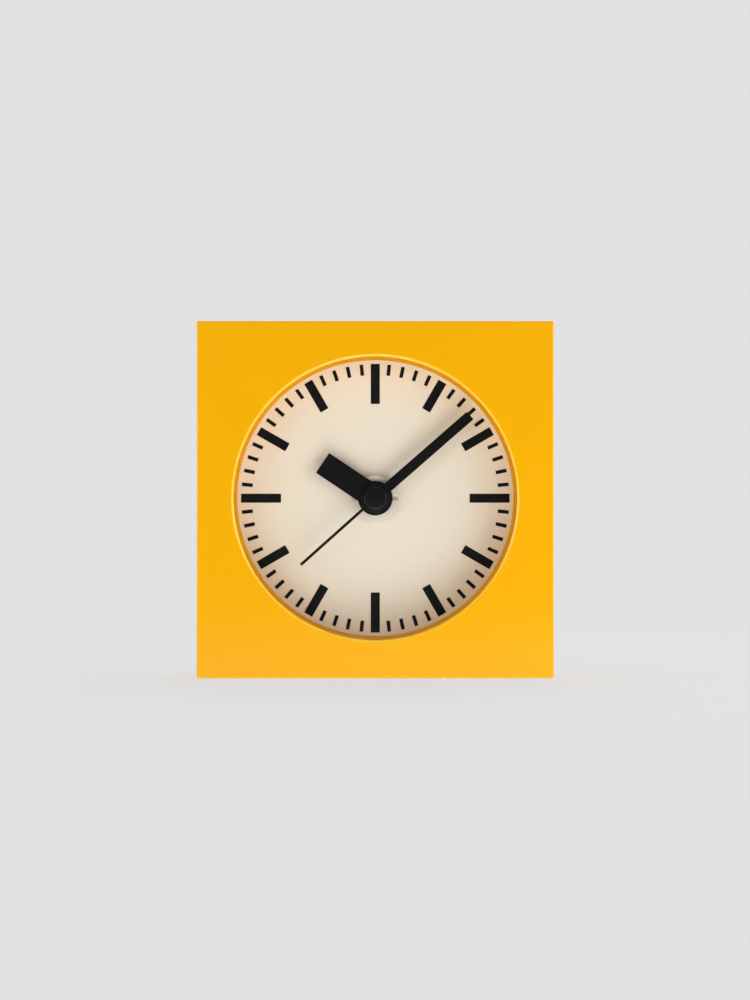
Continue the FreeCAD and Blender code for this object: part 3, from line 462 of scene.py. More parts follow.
# Window: clear acrylic disc, polished on both faces, that sits in the collar against the
# back of the front panel. Only its gloss shows: what lies behind is seen straight through.
window_clear, window_gloss = (0.990, 0.990, 0.985, 1.0), (0.95, 0.97, 0.97, 1.0)
acrylic_index = 1.49
window_finish = Finish("clear_window")
polish = window_finish.noise(size=0.012)
clear_window = window_finish.done(
    window_finish.node(
        "ShaderNodeMixShader", {},
        {
            "Fac": window_finish.node("ShaderNodeFresnel", {}, {"IOR": acrylic_index})
            * (1 - window_finish.node("ShaderNodeNewGeometry").output("Backfacing")),
            1: window_finish.node("ShaderNodeBsdfTransparent", {}, {"Color": window_clear}),
            2: window_finish.surface(window_gloss, roughness=0.02 + 0.02 * polish, Metallic=1.0),
        },
    )
)


def dress(finish, *nodes):
    """Gives CAD nodes that keep their own shape a finish."""
    for node in nodes:
        frame["nodes"][node].material_slots[0].material = finish


dress(clear_window, "lens")

# Reveal ring: the case's yellow plastic with a matt face, moulded as a slightly tapering
# ring. Its yellow is darker and redder than the case's: the same plastic, with part of the
# shade and yellow bounce deep in the opening painted in. It stands between the window and
# the dial and presses the window on the panel.
reveal_low, reveal_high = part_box("reveal_ring")
reveal_step = 0.0001
reveal_taper = 0.0004
reveal_edge = 0.00008
reveal_front = opening_radius - reveal_step
reveal_back = reveal_front - reveal_taper
shaded_matt_yellow = moulded(
    "shaded_matt_yellow", (0.850, 0.375, 0.0015), spread=0.03, roughness=0.70, gloss_drift=0.10,
    grain_size=0.0005, grain_depth=0.000006, shine=0.02,
)
reveal = bmesh.new()
turned(
    reveal,
    [
        (reveal_front + reveal_edge, reveal_low.y), (lens_radius - reveal_edge, reveal_low.y),
        (lens_radius, reveal_low.y + reveal_edge), (lens_radius, reveal_high.y - reveal_edge),
        (lens_radius - reveal_edge, reveal_high.y), (reveal_back, reveal_high.y),
        (reveal_front, reveal_low.y + reveal_edge),
    ],
    shaft, closed=True, sides=case_sides,
)
reveal_piece = new_piece("yellow_reveal_ring", reveal)
even_shading(reveal_piece)
stand_for(reveal_piece, shaded_matt_yellow, "yellow_plastic", "reveal_ring")

# Dial: aluminium plate painted matt cream. The paint has a very fine tooth and clouds of
# slightly warmer and cooler cream.
dial_finish = Finish("cream_dial")
cream_darker, cream_lighter = shades((0.915, 0.860, 0.725), spread=0.012)
paint_tooth = dial_finish.noise(size=0.00035, detail=4.0)
paint_cloud = dial_finish.noise(size=0.018, detail=4.0)
cream_dial = dial_finish.done(
    dial_finish.surface(
        colour=dial_finish.between(paint_cloud, cream_darker, cream_lighter),
        roughness=0.56 + 0.10 * dial_finish.noise(size=0.006),
        normal=dial_finish.bump(paint_tooth, depth=0.000004),
    )
)
dress(cream_dial, "dial")

# Dial marks: twelve batons, the four quarters longer, and a dash for every other minute.
# They are screen-printed in black, thin bars that point at the shaft.
marks_low, marks_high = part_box("hour_marks")
mark_radius = (marks_high.z - marks_low.z) / 2
dash_step = 0.00005
dash_radius = mark_radius - dash_step
baton_width, dash_width = 0.00255, 0.00102
quarter_length, baton_length, dash_length = 0.01135, 0.0093, 0.00310
minutes, minutes_per_hour, minutes_per_quarter = 60, 5, 15


def clouded(finish, pattern, darker, lighter, roughness, drift, relief, depth, **others):
    """Material whose shade and gloss follow one pattern, with a fine relief."""
    return finish.done(
        finish.surface(
            finish.between(pattern, darker, lighter), roughness + drift * pattern,
            finish.bump(relief, depth), **others,
        )
    )


ink = Finish("black_print")
black_print = clouded(
    ink, ink.noise(size=0.004, detail=3.0), *shades((0.0062, 0.0066, 0.0080), spread=0.15),
    roughness=0.36, drift=0.12, relief=ink.noise(size=0.00030), depth=0.000003,
    Specular_IOR_Level=0.15,
)


def grow(name, tree, settings):
    """Mesh that a Geometry Nodes tree makes with these settings, as a plain object."""
    seed = bpy.data.meshes.new(name + "_seed")
    grower = bpy.data.objects.new(name + "_seed", seed)
    bpy.context.scene.collection.objects.link(grower)
    growth = grower.modifiers.new("Growth", "NODES")
    growth.node_group = tree
    for item in tree.interface.items_tree:
        if item.in_out == "INPUT" and item.name in settings:
            growth[item.identifier] = settings[item.name]
    grown = grower.evaluated_get(bpy.context.evaluated_depsgraph_get())
    mesh = bpy.data.meshes.new_from_object(grown)
    mesh.name = name
    grower.modifiers.clear()
    bpy.data.objects.remove(grower)
    bpy.data.meshes.remove(seed)
    piece = bpy.data.objects.new(name, mesh)
    bpy.context.scene.collection.objects.link(piece)
    return piece


def new_growth(name, inputs):
    """Geometry Nodes tree with named inputs; gives the tree, its nodes and its inputs."""
    tree = bpy.data.node_groups.new(name, "GeometryNodeTree")
    tree.interface.new_socket("Geometry", in_out="OUTPUT", socket_type="NodeSocketGeometry")
    for label, kind in inputs.items():
        tree.interface.new_socket(label, in_out="INPUT", socket_type="NodeSocket" + kind)
    nodes = Nodes(tree)
    given = nodes.node("NodeGroupInput")
    return tree, nodes, given.output


def end_growth(nodes, geometry, finish):
    """Turns instances into mesh and sets the material."""
    plain = nodes.node("GeometryNodeRealizeInstances", {}, {"Geometry": geometry})
    painted = nodes.node("GeometryNodeSetMaterial", {}, {"Geometry": plain, "Material": finish})
    nodes.node("NodeGroupOutput", {}, {0: painted})


marks_tree, grow_marks, given = new_growth(
    "printed_marks",
    {
        "Middle": "Vector", "Minutes": "Int", "Per Hour": "Int", "Per Quarter": "Int",
        "Baton Radius": "Float", "Dash Radius": "Float",
        "Baton Width": "Float", "Dash Width": "Float",
        "Quarter Length": "Float", "Baton Length": "Float", "Dash Length": "Float",
        "Thickness": "Float",
    },
)
minute = grow_marks.node("GeometryNodeInputIndex")
on_hour = minute % given("Per Hour") < 0.5
on_quarter = minute % given("Per Quarter") < 0.5


def by_kind(dash, baton):
    """The baton's value on the hours and the dash's between them."""
    return given(dash) + on_hour * (given(baton) - given(dash))


mark_length = by_kind("Dash Length", "Baton Length") + on_quarter * (
    given("Quarter Length") - given("Baton Length")
)
mark_middle = by_kind("Dash Radius", "Baton Radius") - mark_length / 2
mark_turn = minute / given("Minutes") * full_turn
mark_across, mark_up = (
    mark_middle * grow_marks.node("ShaderNodeMath", {"operation": operation}, {0: mark_turn})
    for operation in ("SINE", "COSINE")
)
mark_out = grow_marks.node("ShaderNodeCombineXYZ", {}, {"X": mark_across, "Z": mark_up})
mark_places = grow_marks.node(
    "GeometryNodePoints", {},
    {
        "Count": given("Minutes"),
        "Position": grow_marks.node("ShaderNodeVectorMath", {}, {0: given("Middle"), 1: mark_out}),
    },
)
end_growth(
    grow_marks,
    grow_marks.node(
        "GeometryNodeInstanceOnPoints", {},
        {
            "Points": mark_places,
            "Instance": grow_marks.node("GeometryNodeMeshCube", {}, {"Size": (1.0, 1.0, 1.0)}),
            "Rotation": grow_marks.node("ShaderNodeCombineXYZ", {}, {"Y": mark_turn}),
            "Scale": grow_marks.node(
                "ShaderNodeCombineXYZ", {},
                {
                    "X": by_kind("Dash Width", "Baton Width"),
                    "Y": given("Thickness"),
                    "Z": mark_length,
                },
            ),
        },
    ),
    black_print,
)
printed_marks = grow(
    "printed_marks", marks_tree,
    {
        "Middle": (shaft.x, (marks_low.y + marks_high.y) / 2, shaft.z),
        "Minutes": minutes, "Per Hour": minutes_per_hour, "Per Quarter": minutes_per_quarter,
        "Baton Radius": mark_radius, "Dash Radius": dash_radius,
        "Baton Width": baton_width, "Dash Width": dash_width,
        "Quarter Length": quarter_length, "Baton Length": baton_length, "Dash Length": dash_length,
        "Thickness": marks_high.y - marks_low.y,
    },
)
stand_for(printed_marks, black_print, "black_print", "hour_marks", "minute_marks")

# Screws: pan heads with a cross recess, cut from plain steel. Four hold the dial on its
# bosses, four the rear cover on its pillars and four the gear bridge on its posts.
recess_span, recess_floor_span = 0.6, 0.93
recess_width, recess_floor_width = 0.15, 0.75
recess_depth = 0.5
recess_point = 0.1
recess_sides = 48
crown_share = 0.68
crown_start = 0.4
brim_radius, brim_height = 0.97, 0.05
thread_pitch = 0.00045
thread_depth = 0.14
point_radius = 0.45
first_turn, next_turn = 0.4, 0.9
steel_finish = Finish("steel")
steel_lines = steel_finish.noise(
    size=0.00020, detail=2.0, place=steel_finish.stretched((1.0, 1.0, 0.08))
)
steel = clouded(
    steel_finish, steel_lines, (0.50, 0.50, 0.51, 1.0), (0.62, 0.62, 0.62, 1.0),
    roughness=0.26, drift=0.14, relief=steel_lines, depth=0.000002, Metallic=1.0,
)


def cross(span, width, y):
    """Ring of points round a cross, matched to a circle with as many sides."""
    end_steps, arm_steps = 2, 4
    arm = [(span, width * step / end_steps) for step in range(end_steps)]
    arm += [
        (span + (width - span) * step / arm_steps, width) for step in range(arm_steps + 1)
    ]
    eighth = arm[:recess_sides // 8 + 1]
    quarter = eighth + [(up, across) for across, up in reversed(eighth[1:-1])]
    points = []
    for turns in range(4):
        turned_by = Matrix.Rotation(-turns * quarter_turn, 3, "Y")
        points += [turned_by @ Vector((across, y, up)) for across, up in quarter]
    return points


def screw_template(head, height, shank, length):
    """One screw on the origin, its head behind the seat at y = 0."""
    shape = bmesh.new()
    axis = Vector((0, 0, 0))
    profile = [(0, -length), (shank * point_radius, -length)]
    turns = int((length - shank) / thread_pitch)
    for turn in range(turns):
        start = -length + shank / 2 + turn * thread_pitch
        profile += [(shank * (1 - thread_depth), start), (shank, start + thread_pitch / 2)]
    profile += [(shank * (1 - thread_depth), 0), (head * brim_radius, 0)]
    profile.append((head, height * brim_height))
    crown = head * (1 - crown_share)
    for rise, run in rounding(edge_steps):
        up = height * crown_start + height * (1 - crown_start) * rise
        profile.append((head - crown * run, up))
    rings = [circle(radius, y, axis, recess_sides) for radius, y in profile]
    floor = height * (1 - recess_depth)
    span, width = head * recess_span, head * recess_width
    rings.append(cross(span, width, height))
    rings.append(cross(span * recess_floor_span, width * recess_floor_width, floor))
    rings.append(circle(0, floor - height * recess_point, axis, recess_sides))
    loft(shape, rings)
    return new_piece("screw_template", shape)


screws_tree, grow_screws, given = new_growth(
    "four_screws", {"Screw": "Object", "Middle": "Vector", "Reach X": "Float", "Reach Z": "Float"}
)
number = grow_screws.node("GeometryNodeInputIndex")
screw_places = grow_screws.node(
    "GeometryNodePoints", {},
    {
        "Count": 4,
        "Position": grow_screws.node(
            "ShaderNodeVectorMath", {},
            {
                0: given("Middle"),
                1: grow_screws.node(
                    "ShaderNodeCombineXYZ", {},
                    {
                        "X": given("Reach X") * (1 - 2 * (number % 2)),
                        "Z": given("Reach Z") * (1 - 2 * (number > 1.5)),
                    },
                ),
            },
        ),
    },
)
turns_of_screws = grow_screws.node(
    "ShaderNodeCombineXYZ", {}, {"Y": first_turn + number * next_turn}
)
end_growth(
    grow_screws,
    grow_screws.node(
        "GeometryNodeInstanceOnPoints", {},
        {
            "Points": screw_places,
            "Instance": grow_screws.node(
                "GeometryNodeObjectInfo", {}, {"Object": given("Screw")}
            ).output("Geometry"),
            "Rotation": turns_of_screws,
        },
    ),
    steel,
)


def four_screws(node, head, height, shank, length):
    """The four screws of a node, at the corners of their rectangle."""
    low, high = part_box(node)
    template = screw_template(head, height, shank, length)
    screws = grow(
        node + "_piece", screws_tree,
        {
            "Screw": template,
            "Middle": ((low.x + high.x) / 2, high.y - height, (low.z + high.z) / 2),
            "Reach X": (high.x - low.x) / 2 - head,
            "Reach Z": (high.z - low.z) / 2 - head,
        },
    )
    bpy.data.objects.remove(template)
    stand_for(screws, steel, "steel", node)


four_screws("dial_screws", dial_screw_head, height=0.0011, shank=0.0010, length=0.0055)
four_screws("cover_screws", cover_screw_head, height=0.0013, shank=0.00125, length=0.0080)
four_screws("bridge_screws", head=0.0015, height=0.0007, shank=0.0007, length=0.0038)

# Nut, bush and washer: a bright nickel-plated nut with two slots clamps the dial on a
# threaded brass bush. A rubber washer lies between the dial and the movement.
nut_edge = 0.00018
flat_angle = math.radians(0.5)
nut_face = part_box("shaft_nut")[0].y
# Painted shade: the nut darkens from its front face inwards, into its slots and down its side
# towards the dial.
slot_shade_start, slot_shade_full = 0.00015, 0.00070
painted_slot_shade = (0.30, 0.22, 0.15, 1.0)
nickel_finish = Finish("turned_nickel")
nickel_rings = nickel_finish.noise(
    size=0.00012, detail=3.0,
    place=nickel_finish.node("ShaderNodeCombineXYZ", {}, {"X": nickel_finish.radius()}),
)
# How far in from the nut's face, which sets the painted shade in the slots.
painted_slot_shade_mask = nickel_finish.node(
    "ShaderNodeMapRange", {},
    {
        "Value": nickel_finish.node(
            "ShaderNodeSeparateXYZ", {}, {0: nickel_finish.place}
        ).output("Y"),
        "From Min": nut_face + slot_shade_start, "From Max": nut_face + slot_shade_full,
    },
)
bright_nickel = nickel_finish.between(
    nickel_rings, (0.92, 0.86, 0.77, 1.0), (0.99, 0.94, 0.86, 1.0)
)
turned_nickel = nickel_finish.done(
    nickel_finish.surface(
        colour=nickel_finish.between(painted_slot_shade_mask, bright_nickel, painted_slot_shade),
        roughness=0.56 + 0.10 * nickel_rings,
        normal=nickel_finish.bump(nickel_rings, depth=0.0000016),
        Metallic=1.0,
    )
)


def softened(node, finish, slot, edge):
    """Copy of a CAD solid with its sharp edges rounded, standing for it."""
    shape = bmesh.new()
    shape.from_mesh(frame["nodes"][node].data)
    bmesh.ops.remove_doubles(shape, verts=shape.verts, dist=merge_distance)
    bmesh.ops.dissolve_limit(
        shape, angle_limit=flat_angle, verts=shape.verts, edges=shape.edges
    )
    piece = new_piece(node + "_piece", shape)
    bevel = piece.modifiers.new("Edges", "BEVEL")
    bevel.width = edge
    bevel.segments = 2
    bevel.limit_method = "ANGLE"
    bevel.angle_limit = smooth_angle
    bevel.use_clamp_overlap = True
    even_shading(piece)
    stand_for(piece, finish, slot, node)


softened("shaft_nut", turned_nickel, "nickel", edge=nut_edge)

thread_bands = 145.0
brass_finish = Finish("brass")
brass_thread = brass_finish.node(
    "ShaderNodeTexWave", {"wave_type": "BANDS", "bands_direction": "Y", "wave_profile": "TRI"},
    {"Vector": brass_finish.place, "Scale": thread_bands, "Distortion": 0.0},
).output("Fac")
brass = clouded(
    brass_finish, brass_finish.noise(size=0.0020, detail=3.0),
    (0.66, 0.46, 0.17, 1.0), (0.80, 0.60, 0.28, 1.0),
    roughness=0.24, drift=0.16, relief=brass_thread, depth=0.00005, Metallic=1.0,
)
softened("threaded_bush", brass, "brass", edge=0.00012)

rubber_finish = Finish("rubber")
rubber_bloom = rubber_finish.noise(size=0.0016, detail=5.0)
rubber = clouded(
    rubber_finish, rubber_bloom, (0.020, 0.020, 0.020, 1.0), (0.040, 0.040, 0.039, 1.0),
    roughness=0.74, drift=0.16, relief=rubber_bloom, depth=0.00002,
)
softened("shaft_washer", rubber, "rubber", edge=0.00010)

# Hands: stamped metal bars on round bosses, enamelled black. The hour hand is broad, the
# minute hand slim, and the seconds hand thin under a rounded cap.
enamel = Finish("black_enamel")
black_enamel = clouded(
    enamel, enamel.noise(size=0.005, detail=3.0), *shades((0.0066, 0.0068, 0.0076), spread=0.10),
    roughness=0.27, drift=0.06, relief=enamel.noise(size=0.0007), depth=0.0000008,
    Specular_IOR_Level=0.22,
)
flat_boss = 0.00025
round_cap = 0.0006
boss_sides = 96
bar_edge = 0.00007
hand_edge = 0.00010


def hand(node, radius, bore, chamfer, width, reach, thickness, start, degrees):
    """Hand with a turned boss and a flat bar, pointing clockwise from twelve."""
    low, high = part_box(node)
    shape = bmesh.new()
    profile = [(bore, high.y), (radius - hand_edge, high.y), (radius, high.y - hand_edge)]
    for rise, run in rounding(edge_steps):
        profile.append((radius - chamfer * run, low.y + chamfer * (1 - rise)))
    if bore:
        profile.append((bore, low.y))
    else:
        profile = [(0, high.y)] + profile[1:] + [(0, low.y)]
    turned(shape, profile, shaft, closed=bool(bore), sides=boss_sides)
    middle = (low.y + high.y) / 2
    turn = (
        Matrix.Translation(shaft)
        @ Matrix.Rotation(math.radians(degrees), 4, "Y")
        @ Matrix.Translation(-shaft)
    )
    block(
        shape,
        (shaft.x - width / 2, middle - thickness / 2, shaft.z + start),
        (shaft.x + width / 2, middle + thickness / 2, shaft.z + reach),
        bar_edge, turn,
    )
    piece = new_piece(node + "_piece", shape)
    even_shading(piece)
    stand_for(piece, black_enamel, "black_enamel", node)


hand(
    "hour_hand", radius=0.0049, bore=0.0024, chamfer=flat_boss,
    width=0.00675, reach=0.01795, thickness=0.0004, start=0.0026, degrees=303.8,
)
hand(
    "minute_hand", radius=0.00405, bore=0.0015, chamfer=flat_boss,
    width=0.00288, reach=0.0355, thickness=0.0004, start=0.0017, degrees=48.9,
)
hand(
    "seconds_hand", radius=0.00325, bore=0.0, chamfer=round_cap,
    width=0.00082, reach=0.0282, thickness=0.00025, start=0.0012, degrees=228.2,
)

# Movement housing: a tray and its lid, moulded in black plastic with a fine grain. Four
# hooks hold them together round the gears, the motor and the battery.
black_plastic = moulded(
    "black_plastic", (0.0225, 0.0225, 0.0240), spread=0.12, roughness=0.46, gloss_drift=0.14,
    grain_size=0.00045, grain_depth=0.000008,
)
softened("movement_front_shell", black_plastic, "black_plastic", edge=0.00012)
softened("movement_rear_shell", black_plastic, "black_plastic", edge=0.00015)

# Gear bridge: the grey middle plate, moulded in one piece, in which the gears' pivots turn.
# Its four screws go into posts on the tray.
grey_plastic = moulded(
    "grey_plastic", (0.200, 0.200, 0.208), spread=0.06, roughness=0.44, gloss_drift=0.12,
    grain_size=0.0005, grain_depth=0.000006,
)
softened("gear_bridge", grey_plastic, "grey_plastic", edge=0.00010)

# Going train and motion works: wheels and pinions moulded in white acetal, a little waxy,
# on plain pivots. The minute tube is turned in brass and the seconds arbor ground in steel.
white_plastic = moulded(
    "white_plastic", (0.80, 0.79, 0.76), spread=0.03, roughness=0.36, gloss_drift=0.10,
    grain_size=0.0006, grain_depth=0.000003,
)
dress(
    white_plastic, "rotor_pinion", "step_wheel", "seconds_wheel", "third_wheel", "centre_wheel",
    "motion_wheel", "hour_wheel", "setting_arbor",
)
dress(brass, "cannon_pinion")
dress(steel, "seconds_arbor")

# Step motor: a sintered magnet on the rotor, a stator and a core of soft iron, and a coil
# of enamelled copper wire wound turn by turn on a white spool.
magnet_finish = Finish("magnet")
magnet_grain = magnet_finish.noise(size=0.00025, detail=4.0)
magnet = clouded(
    magnet_finish, magnet_grain, (0.055, 0.055, 0.060, 1.0), (0.11, 0.11, 0.115, 1.0),
    roughness=0.42, drift=0.20, relief=magnet_grain, depth=0.000008, Metallic=0.6,
)
softened("rotor_magnet", magnet, "magnet", edge=0.00012)
softened("stator", steel, "steel", edge=0.00006)
softened("coil_core", steel, "steel", edge=0.00006)
softened("coil_bobbin", white_plastic, "white_plastic", edge=0.00008)

wire_finish = Finish("copper_wire")
copper_wire = clouded(
    wire_finish, wire_finish.noise(size=0.0012, detail=3.0),
    (0.60, 0.20, 0.07, 1.0), (0.78, 0.34, 0.14, 1.0),
    roughness=0.22, drift=0.12, relief=wire_finish.noise(size=0.0003), depth=0.000003,
    Metallic=1.0,
)
winding_low, winding_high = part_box("coil_winding")
wire_radius = 0.00011
wire_sides = 6
wire_steps = 24
winding_tree, grow_winding, given = new_growth(
    "coil_turns",
    {
        "Middle": "Vector", "Radius": "Float", "Length": "Float", "Turns": "Float",
        "Wire Radius": "Float", "Steps": "Int", "Sides": "Int",
    },
)
helix = grow_winding.node(
    "GeometryNodeCurveSpiral", {},
    {
        "Resolution": given("Steps"), "Rotations": given("Turns"),
        "Start Radius": given("Radius"), "End Radius": given("Radius"), "Height": given("Length"),
    },
)
wound = grow_winding.node(
    "GeometryNodeCurveToMesh", {},
    {
        "Curve": helix,
        "Profile Curve": grow_winding.node(
            "GeometryNodeCurvePrimitiveCircle", {},
            {"Resolution": given("Sides"), "Radius": given("Wire Radius")},
        ),
        "Fill Caps": True,
    },
)
laid = grow_winding.node(
    "GeometryNodeTransform", {},
    {
        "Geometry": wound,
        "Translation": given("Middle"),
        "Rotation": (0.0, quarter_turn, 0.0),
    },
)
end_growth(grow_winding, laid, copper_wire)
winding_length = winding_high.x - winding_low.x - 2 * wire_radius
coil_winding = grow(
    "coil_turns", winding_tree,
    {
        "Middle": (
            winding_low.x + wire_radius,
            (winding_low.y + winding_high.y) / 2, (winding_low.z + winding_high.z) / 2,
        ),
        "Radius": (winding_high.z - winding_low.z) / 2 - wire_radius,
        "Length": winding_length, "Turns": winding_length / (2 * wire_radius),
        "Wire Radius": wire_radius, "Steps": wire_steps, "Sides": wire_sides,
    },
)
stand_for(coil_winding, copper_wire, "copper_wire", "coil_winding")

# Battery: a drawn steel can in a plain two-tone jacket with bare, crimped ends. It lies
# between a flat contact and a bowed leaf, both pressed from nickel-plated strip.
cell_low, cell_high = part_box("battery_cell")
nub_length = 0.0013
bare_end = 0.0009
band_length = 0.0110
printed_edge = 0.0001
band_colour, can_colour = (0.62, 0.30, 0.13, 1.0), (0.74, 0.73, 0.70, 1.0)
jacket_finish = Finish("cell_jacket")
jacket_cloud = jacket_finish.noise(size=0.0030, detail=3.0)
jacket_place = jacket_finish.node(
    "ShaderNodeSeparateXYZ", {}, {0: jacket_finish.place}
).output("X")


def jacket_up_to(end):
    """One up to a place along the cell, and nothing beyond it."""
    return jacket_finish.node(
        "ShaderNodeMapRange", {},
        {
            "Value": jacket_place, "From Min": end - printed_edge, "From Max": end + printed_edge,
            "To Min": 1.0, "To Max": 0.0,
        },
    )


jacket_band = jacket_up_to(cell_low.x + nub_length + band_length)
bare_steel = jacket_up_to(cell_low.x + nub_length + bare_end) + 1 - jacket_up_to(
    cell_high.x - bare_end
)
dark_jacket = jacket_finish.between(
    jacket_cloud, (0.085, 0.088, 0.098, 1.0), (0.115, 0.117, 0.128, 1.0)
)
two_tone = jacket_finish.between(jacket_band, dark_jacket, band_colour)
cell_jacket = jacket_finish.done(
    jacket_finish.surface(
        colour=jacket_finish.between(bare_steel, two_tone, can_colour),
        roughness=0.26 + 0.10 * jacket_cloud,
        normal=jacket_finish.bump(jacket_finish.noise(size=0.0015), depth=0.000006),
        Metallic=bare_steel,
    )
)
softened("battery_cell", cell_jacket, "cell_jacket", edge=0.00010)

strip_finish = Finish("nickel_strip")
strip_grain = strip_finish.noise(
    size=0.00015, detail=2.0, place=strip_finish.stretched((1.0, 1.0, 0.06))
)
nickel_strip = clouded(
    strip_finish, strip_grain, (0.68, 0.67, 0.63, 1.0), (0.80, 0.79, 0.75, 1.0),
    roughness=0.24, drift=0.16, relief=strip_grain, depth=0.000002, Metallic=1.0,
)
softened("positive_contact", nickel_strip, "nickel", edge=0.00005)
softened("negative_contact", nickel_strip, "nickel", edge=0.00005)

# Circuit board: green solder mask over a glass weave, with the chip under a drop of black
# resin and a steel-canned crystal beside it.
weave_bands, weave_wander = 500.0, 0.4
board_finish = Finish("board_green")
weave_up, weave_across = (
    board_finish.node(
        "ShaderNodeTexWave", {"wave_type": "BANDS", "bands_direction": direction},
        {"Vector": board_finish.place, "Scale": weave_bands, "Distortion": weave_wander},
    ).output("Fac")
    for direction in ("Z", "X")
)
weave = (weave_up + weave_across) / 2
board_green = clouded(
    board_finish, weave, (0.030, 0.150, 0.055, 1.0), (0.050, 0.215, 0.085, 1.0),
    roughness=0.30, drift=0.10, relief=weave, depth=0.000006,
)
softened("circuit_board", board_green, "board_green", edge=0.00005)
resin_finish = Finish("black_resin")
resin_flow = resin_finish.noise(size=0.0020, detail=1.0)
black_resin = clouded(
    resin_finish, resin_flow, (0.008, 0.008, 0.010, 1.0), (0.014, 0.014, 0.016, 1.0),
    roughness=0.14, drift=0.10, relief=resin_flow, depth=0.00006,
)
softened("control_chip", black_resin, "black_resin", edge=0.00030)
softened("quartz_crystal", steel, "steel", edge=0.00015)

# Rear cover: a flat plate in the same black plastic, screwed on the pillars inside the
# case's rim. The battery door swings on two pins, and a ribbed knob sets the hands.
softened("rear_cover", black_plastic, "black_plastic", edge=0.00018)
softened("battery_door", black_plastic, "black_plastic", edge=0.00015)
softened("setting_knob", black_plastic, "black_plastic", edge=0.00015)

# Setting: a pale translucent table that runs into an even pale backdrop. Near the clock it
# takes real light and so keeps the shadow, and a lamp below shines through it.
backdrop_shade = 0.760
dark_side = 0.012
floor_albedo = 0.74
floor_roughness = 0.8
plain_white = (1.0, 1.0, 1.0, 1.0)
shadow_share = 0.22
shadow_start = 0.08
shadow_reach = 0.45
table_near = -0.20
table_far = -0.46
floor_half = 8.0
floor_shape = bmesh.new()
floor_corners = [(-1, -1), (1, -1), (1, 1), (-1, 1)]
floor_shape.faces.new(
    [floor_shape.verts.new((x * floor_half, y * floor_half, 0)) for x, y in floor_corners]
)
floor = new_piece("floor", floor_shape)
floor_finish = Finish("pale_floor")
rays = floor_finish.node("ShaderNodeLightPath")
camera_ray = rays.output("Is Camera Ray")
mirrored = rays.output("Is Glossy Ray") + rays.output("Is Transmission Ray") > 0.5
distance = floor_finish.node(
    "ShaderNodeVectorMath", {"operation": "LENGTH"}, {0: floor_finish.place}
).output("Value")
near = floor_finish.node(
    "ShaderNodeMapRange", {"interpolation_type": "SMOOTHSTEP"},
    {
        "Value": distance, "From Min": shadow_start, "From Max": shadow_reach,
        "To Min": 1.0, "To Max": 0.0,
    },
)
lit_table = floor_finish.node(
    "ShaderNodeMapRange", {"interpolation_type": "SMOOTHSTEP"},
    {
        "Value": floor_finish.node(
            "ShaderNodeSeparateXYZ", {}, {0: floor_finish.place}
        ).output("Y"),
        "From Min": table_far, "From Max": table_near,
        "To Min": dark_side, "To Max": backdrop_shade,
    },
)
glow = floor_finish.node(
    "ShaderNodeEmission", {},
    {
        "Color": plain_white,
        "Strength": camera_ray * backdrop_shade + (1 - camera_ray) * lit_table,
    },
)
pale_floor = floor_finish.done(
    floor_finish.node(
        "ShaderNodeMixShader", {},
        {
            "Fac": rays.output("Is Shadow Ray"),
            1: floor_finish.node(
                "ShaderNodeMixShader", {},
                {
                    "Fac": camera_ray * (1 - shadow_share * near) + (1 - camera_ray) * mirrored,
                    1: floor_finish.surface(
                        (floor_albedo, floor_albedo, floor_albedo, 1.0), floor_roughness
                    ),
                    2: glow,
                },
            ),
            2: floor_finish.node("ShaderNodeBsdfTransparent"),
        },
    )
)
floor.data.materials.append(pale_floor)

# Backdrop: the camera sees an even pale grey all round. Polished surfaces see it too, but
# darker from where the photographer stands, and so does the fill on matt surfaces.
front_fill = 0.30
back_fill = 0.80
tent_shine = 2.2
tent_fade = 0.85
behind_starts, behind_ends = -0.5, 0.2
beside_starts, beside_ends = -0.70, -0.30
world = bpy.data.worlds.new("studio")
world.use_nodes = True
bpy.context.scene.world = world
sky = Nodes(world.node_tree)
world.node_tree.nodes.clear()
rays = sky.node("ShaderNodeLightPath")
direction = sky.node(
    "ShaderNodeSeparateXYZ", {}, {0: sky.node("ShaderNodeTexCoord").output("Generated")}
)
behind = sky.node(
    "ShaderNodeMapRange", {"interpolation_type": "SMOOTHSTEP"},
    {"Value": direction.output("Y"), "From Min": behind_starts, "From Max": behind_ends},
)
beside = sky.node(
    "ShaderNodeMapRange", {"interpolation_type": "SMOOTHSTEP"},
    {"Value": direction.output("Y"), "From Min": beside_starts, "From Max": beside_ends},
)
camera_ray = rays.output("Is Camera Ray")
mirrored = rays.output("Is Glossy Ray") + rays.output("Is Transmission Ray") > 0.5
tent = tent_shine * beside * (1 - tent_fade * direction.output("Z"))
gloss = dark_side + tent * (1 - behind) + backdrop_shade * behind
fill = front_fill + (back_fill - front_fill) * behind
strength = camera_ray * backdrop_shade + (1 - camera_ray) * (
    mirrored * gloss + (1 - mirrored) * fill
)
sky.node(
    "ShaderNodeOutputWorld", {},
    {
        "Surface": sky.node(
            "ShaderNodeBackground", {}, {"Color": plain_white, "Strength": strength}
        )
    },
)

# Lamps: two soft boxes below, which shine through the table, one at each side and one in
# front on the left. Two at the edges and one behind keep the case's outline apart.


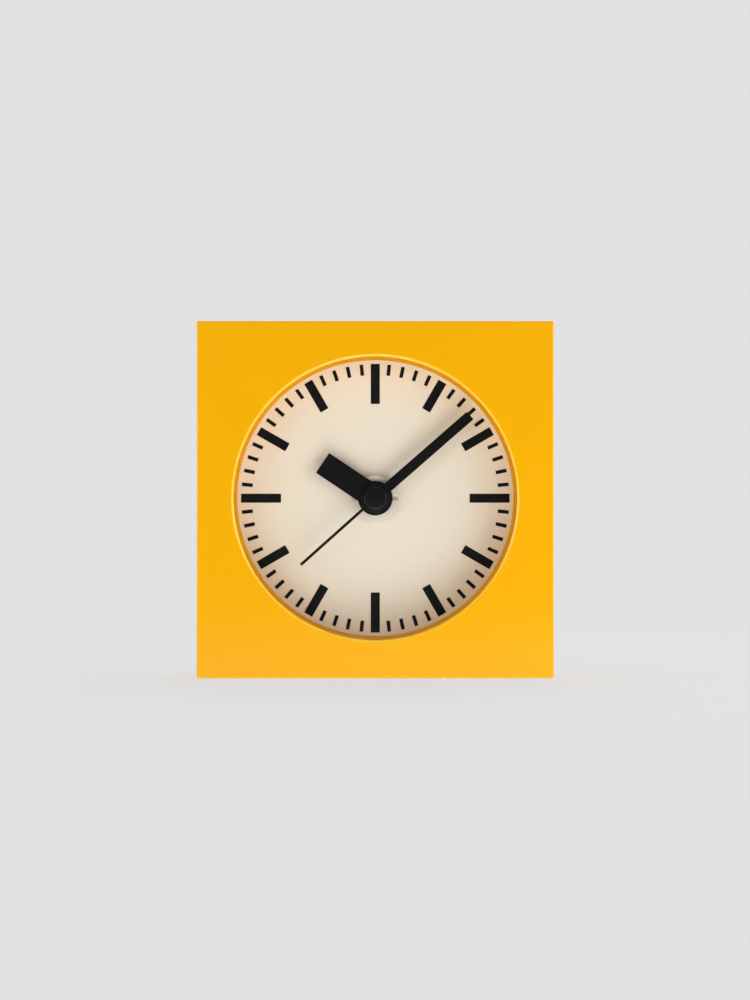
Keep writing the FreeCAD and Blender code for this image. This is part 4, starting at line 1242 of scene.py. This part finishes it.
def softbox(name, clock, off_axis, distance, width, height, brightness):
    """Soft lamp round the dial's middle: where on the clock, how far off the axis."""
    clock, off_axis = math.radians(clock), math.radians(off_axis)
    middle = Vector((0, 0, case_middle.z))
    away = Vector(
        (
            math.sin(off_axis) * math.sin(clock),
            -math.cos(off_axis),
            math.sin(off_axis) * math.cos(clock),
        )
    )
    lamp = bpy.data.lights.new(name, "AREA")
    lamp.shape = "RECTANGLE"
    lamp.size = width
    lamp.size_y = height
    lamp.energy = brightness * math.pi * width * height
    holder = bpy.data.objects.new(name, lamp)
    holder.location = middle + away * distance
    holder.rotation_euler = (-away).to_track_quat("-Z", "Y").to_euler()
    holder.visible_camera = False
    lamp.cycles.use_multiple_importance_sampling = holder.location.z > 0
    bpy.context.scene.collection.objects.link(holder)


softbox("low_box", clock=168, off_axis=42, distance=0.60, width=0.45, height=0.45, brightness=1.35)
softbox(
    "table_glow", clock=172, off_axis=55, distance=0.22, width=0.12, height=0.12, brightness=2.0
)
softbox("left_box", clock=272, off_axis=50, distance=0.60, width=0.40, height=0.40, brightness=1.3)
softbox("right_box", clock=92, off_axis=50, distance=0.60, width=0.40, height=0.40, brightness=2.2)
softbox("front_box", clock=274, off_axis=35, distance=0.90, width=0.42, height=0.42, brightness=1.3)
softbox("left_edge", clock=275, off_axis=84, distance=0.80, width=0.30, height=0.60, brightness=3.0)
softbox("right_edge", clock=80, off_axis=84, distance=0.80, width=0.30, height=0.60, brightness=4.5)
softbox("back_box", clock=10, off_axis=135, distance=1.10, width=0.70, height=0.60, brightness=3.0)

# Camera: straight in front of the dial and a metre away, on a long lens, so that the case
# shows nothing but its front.
focal_length = 128.7
film_width = 36.0
camera_distance = 1.0
camera_side, camera_height = -0.00008, 0.0499
camera_data = bpy.data.cameras.new("camera")
camera_data.lens = focal_length
camera_data.sensor_width = film_width
camera = bpy.data.objects.new("camera", camera_data)
camera.location = (camera_side, case_low.y - camera_distance, camera_height)
camera.rotation_euler = (quarter_turn, 0, 0)
bpy.context.scene.collection.objects.link(camera)
bpy.context.scene.camera = camera
bpy.context.scene.view_settings.view_transform = "Standard"
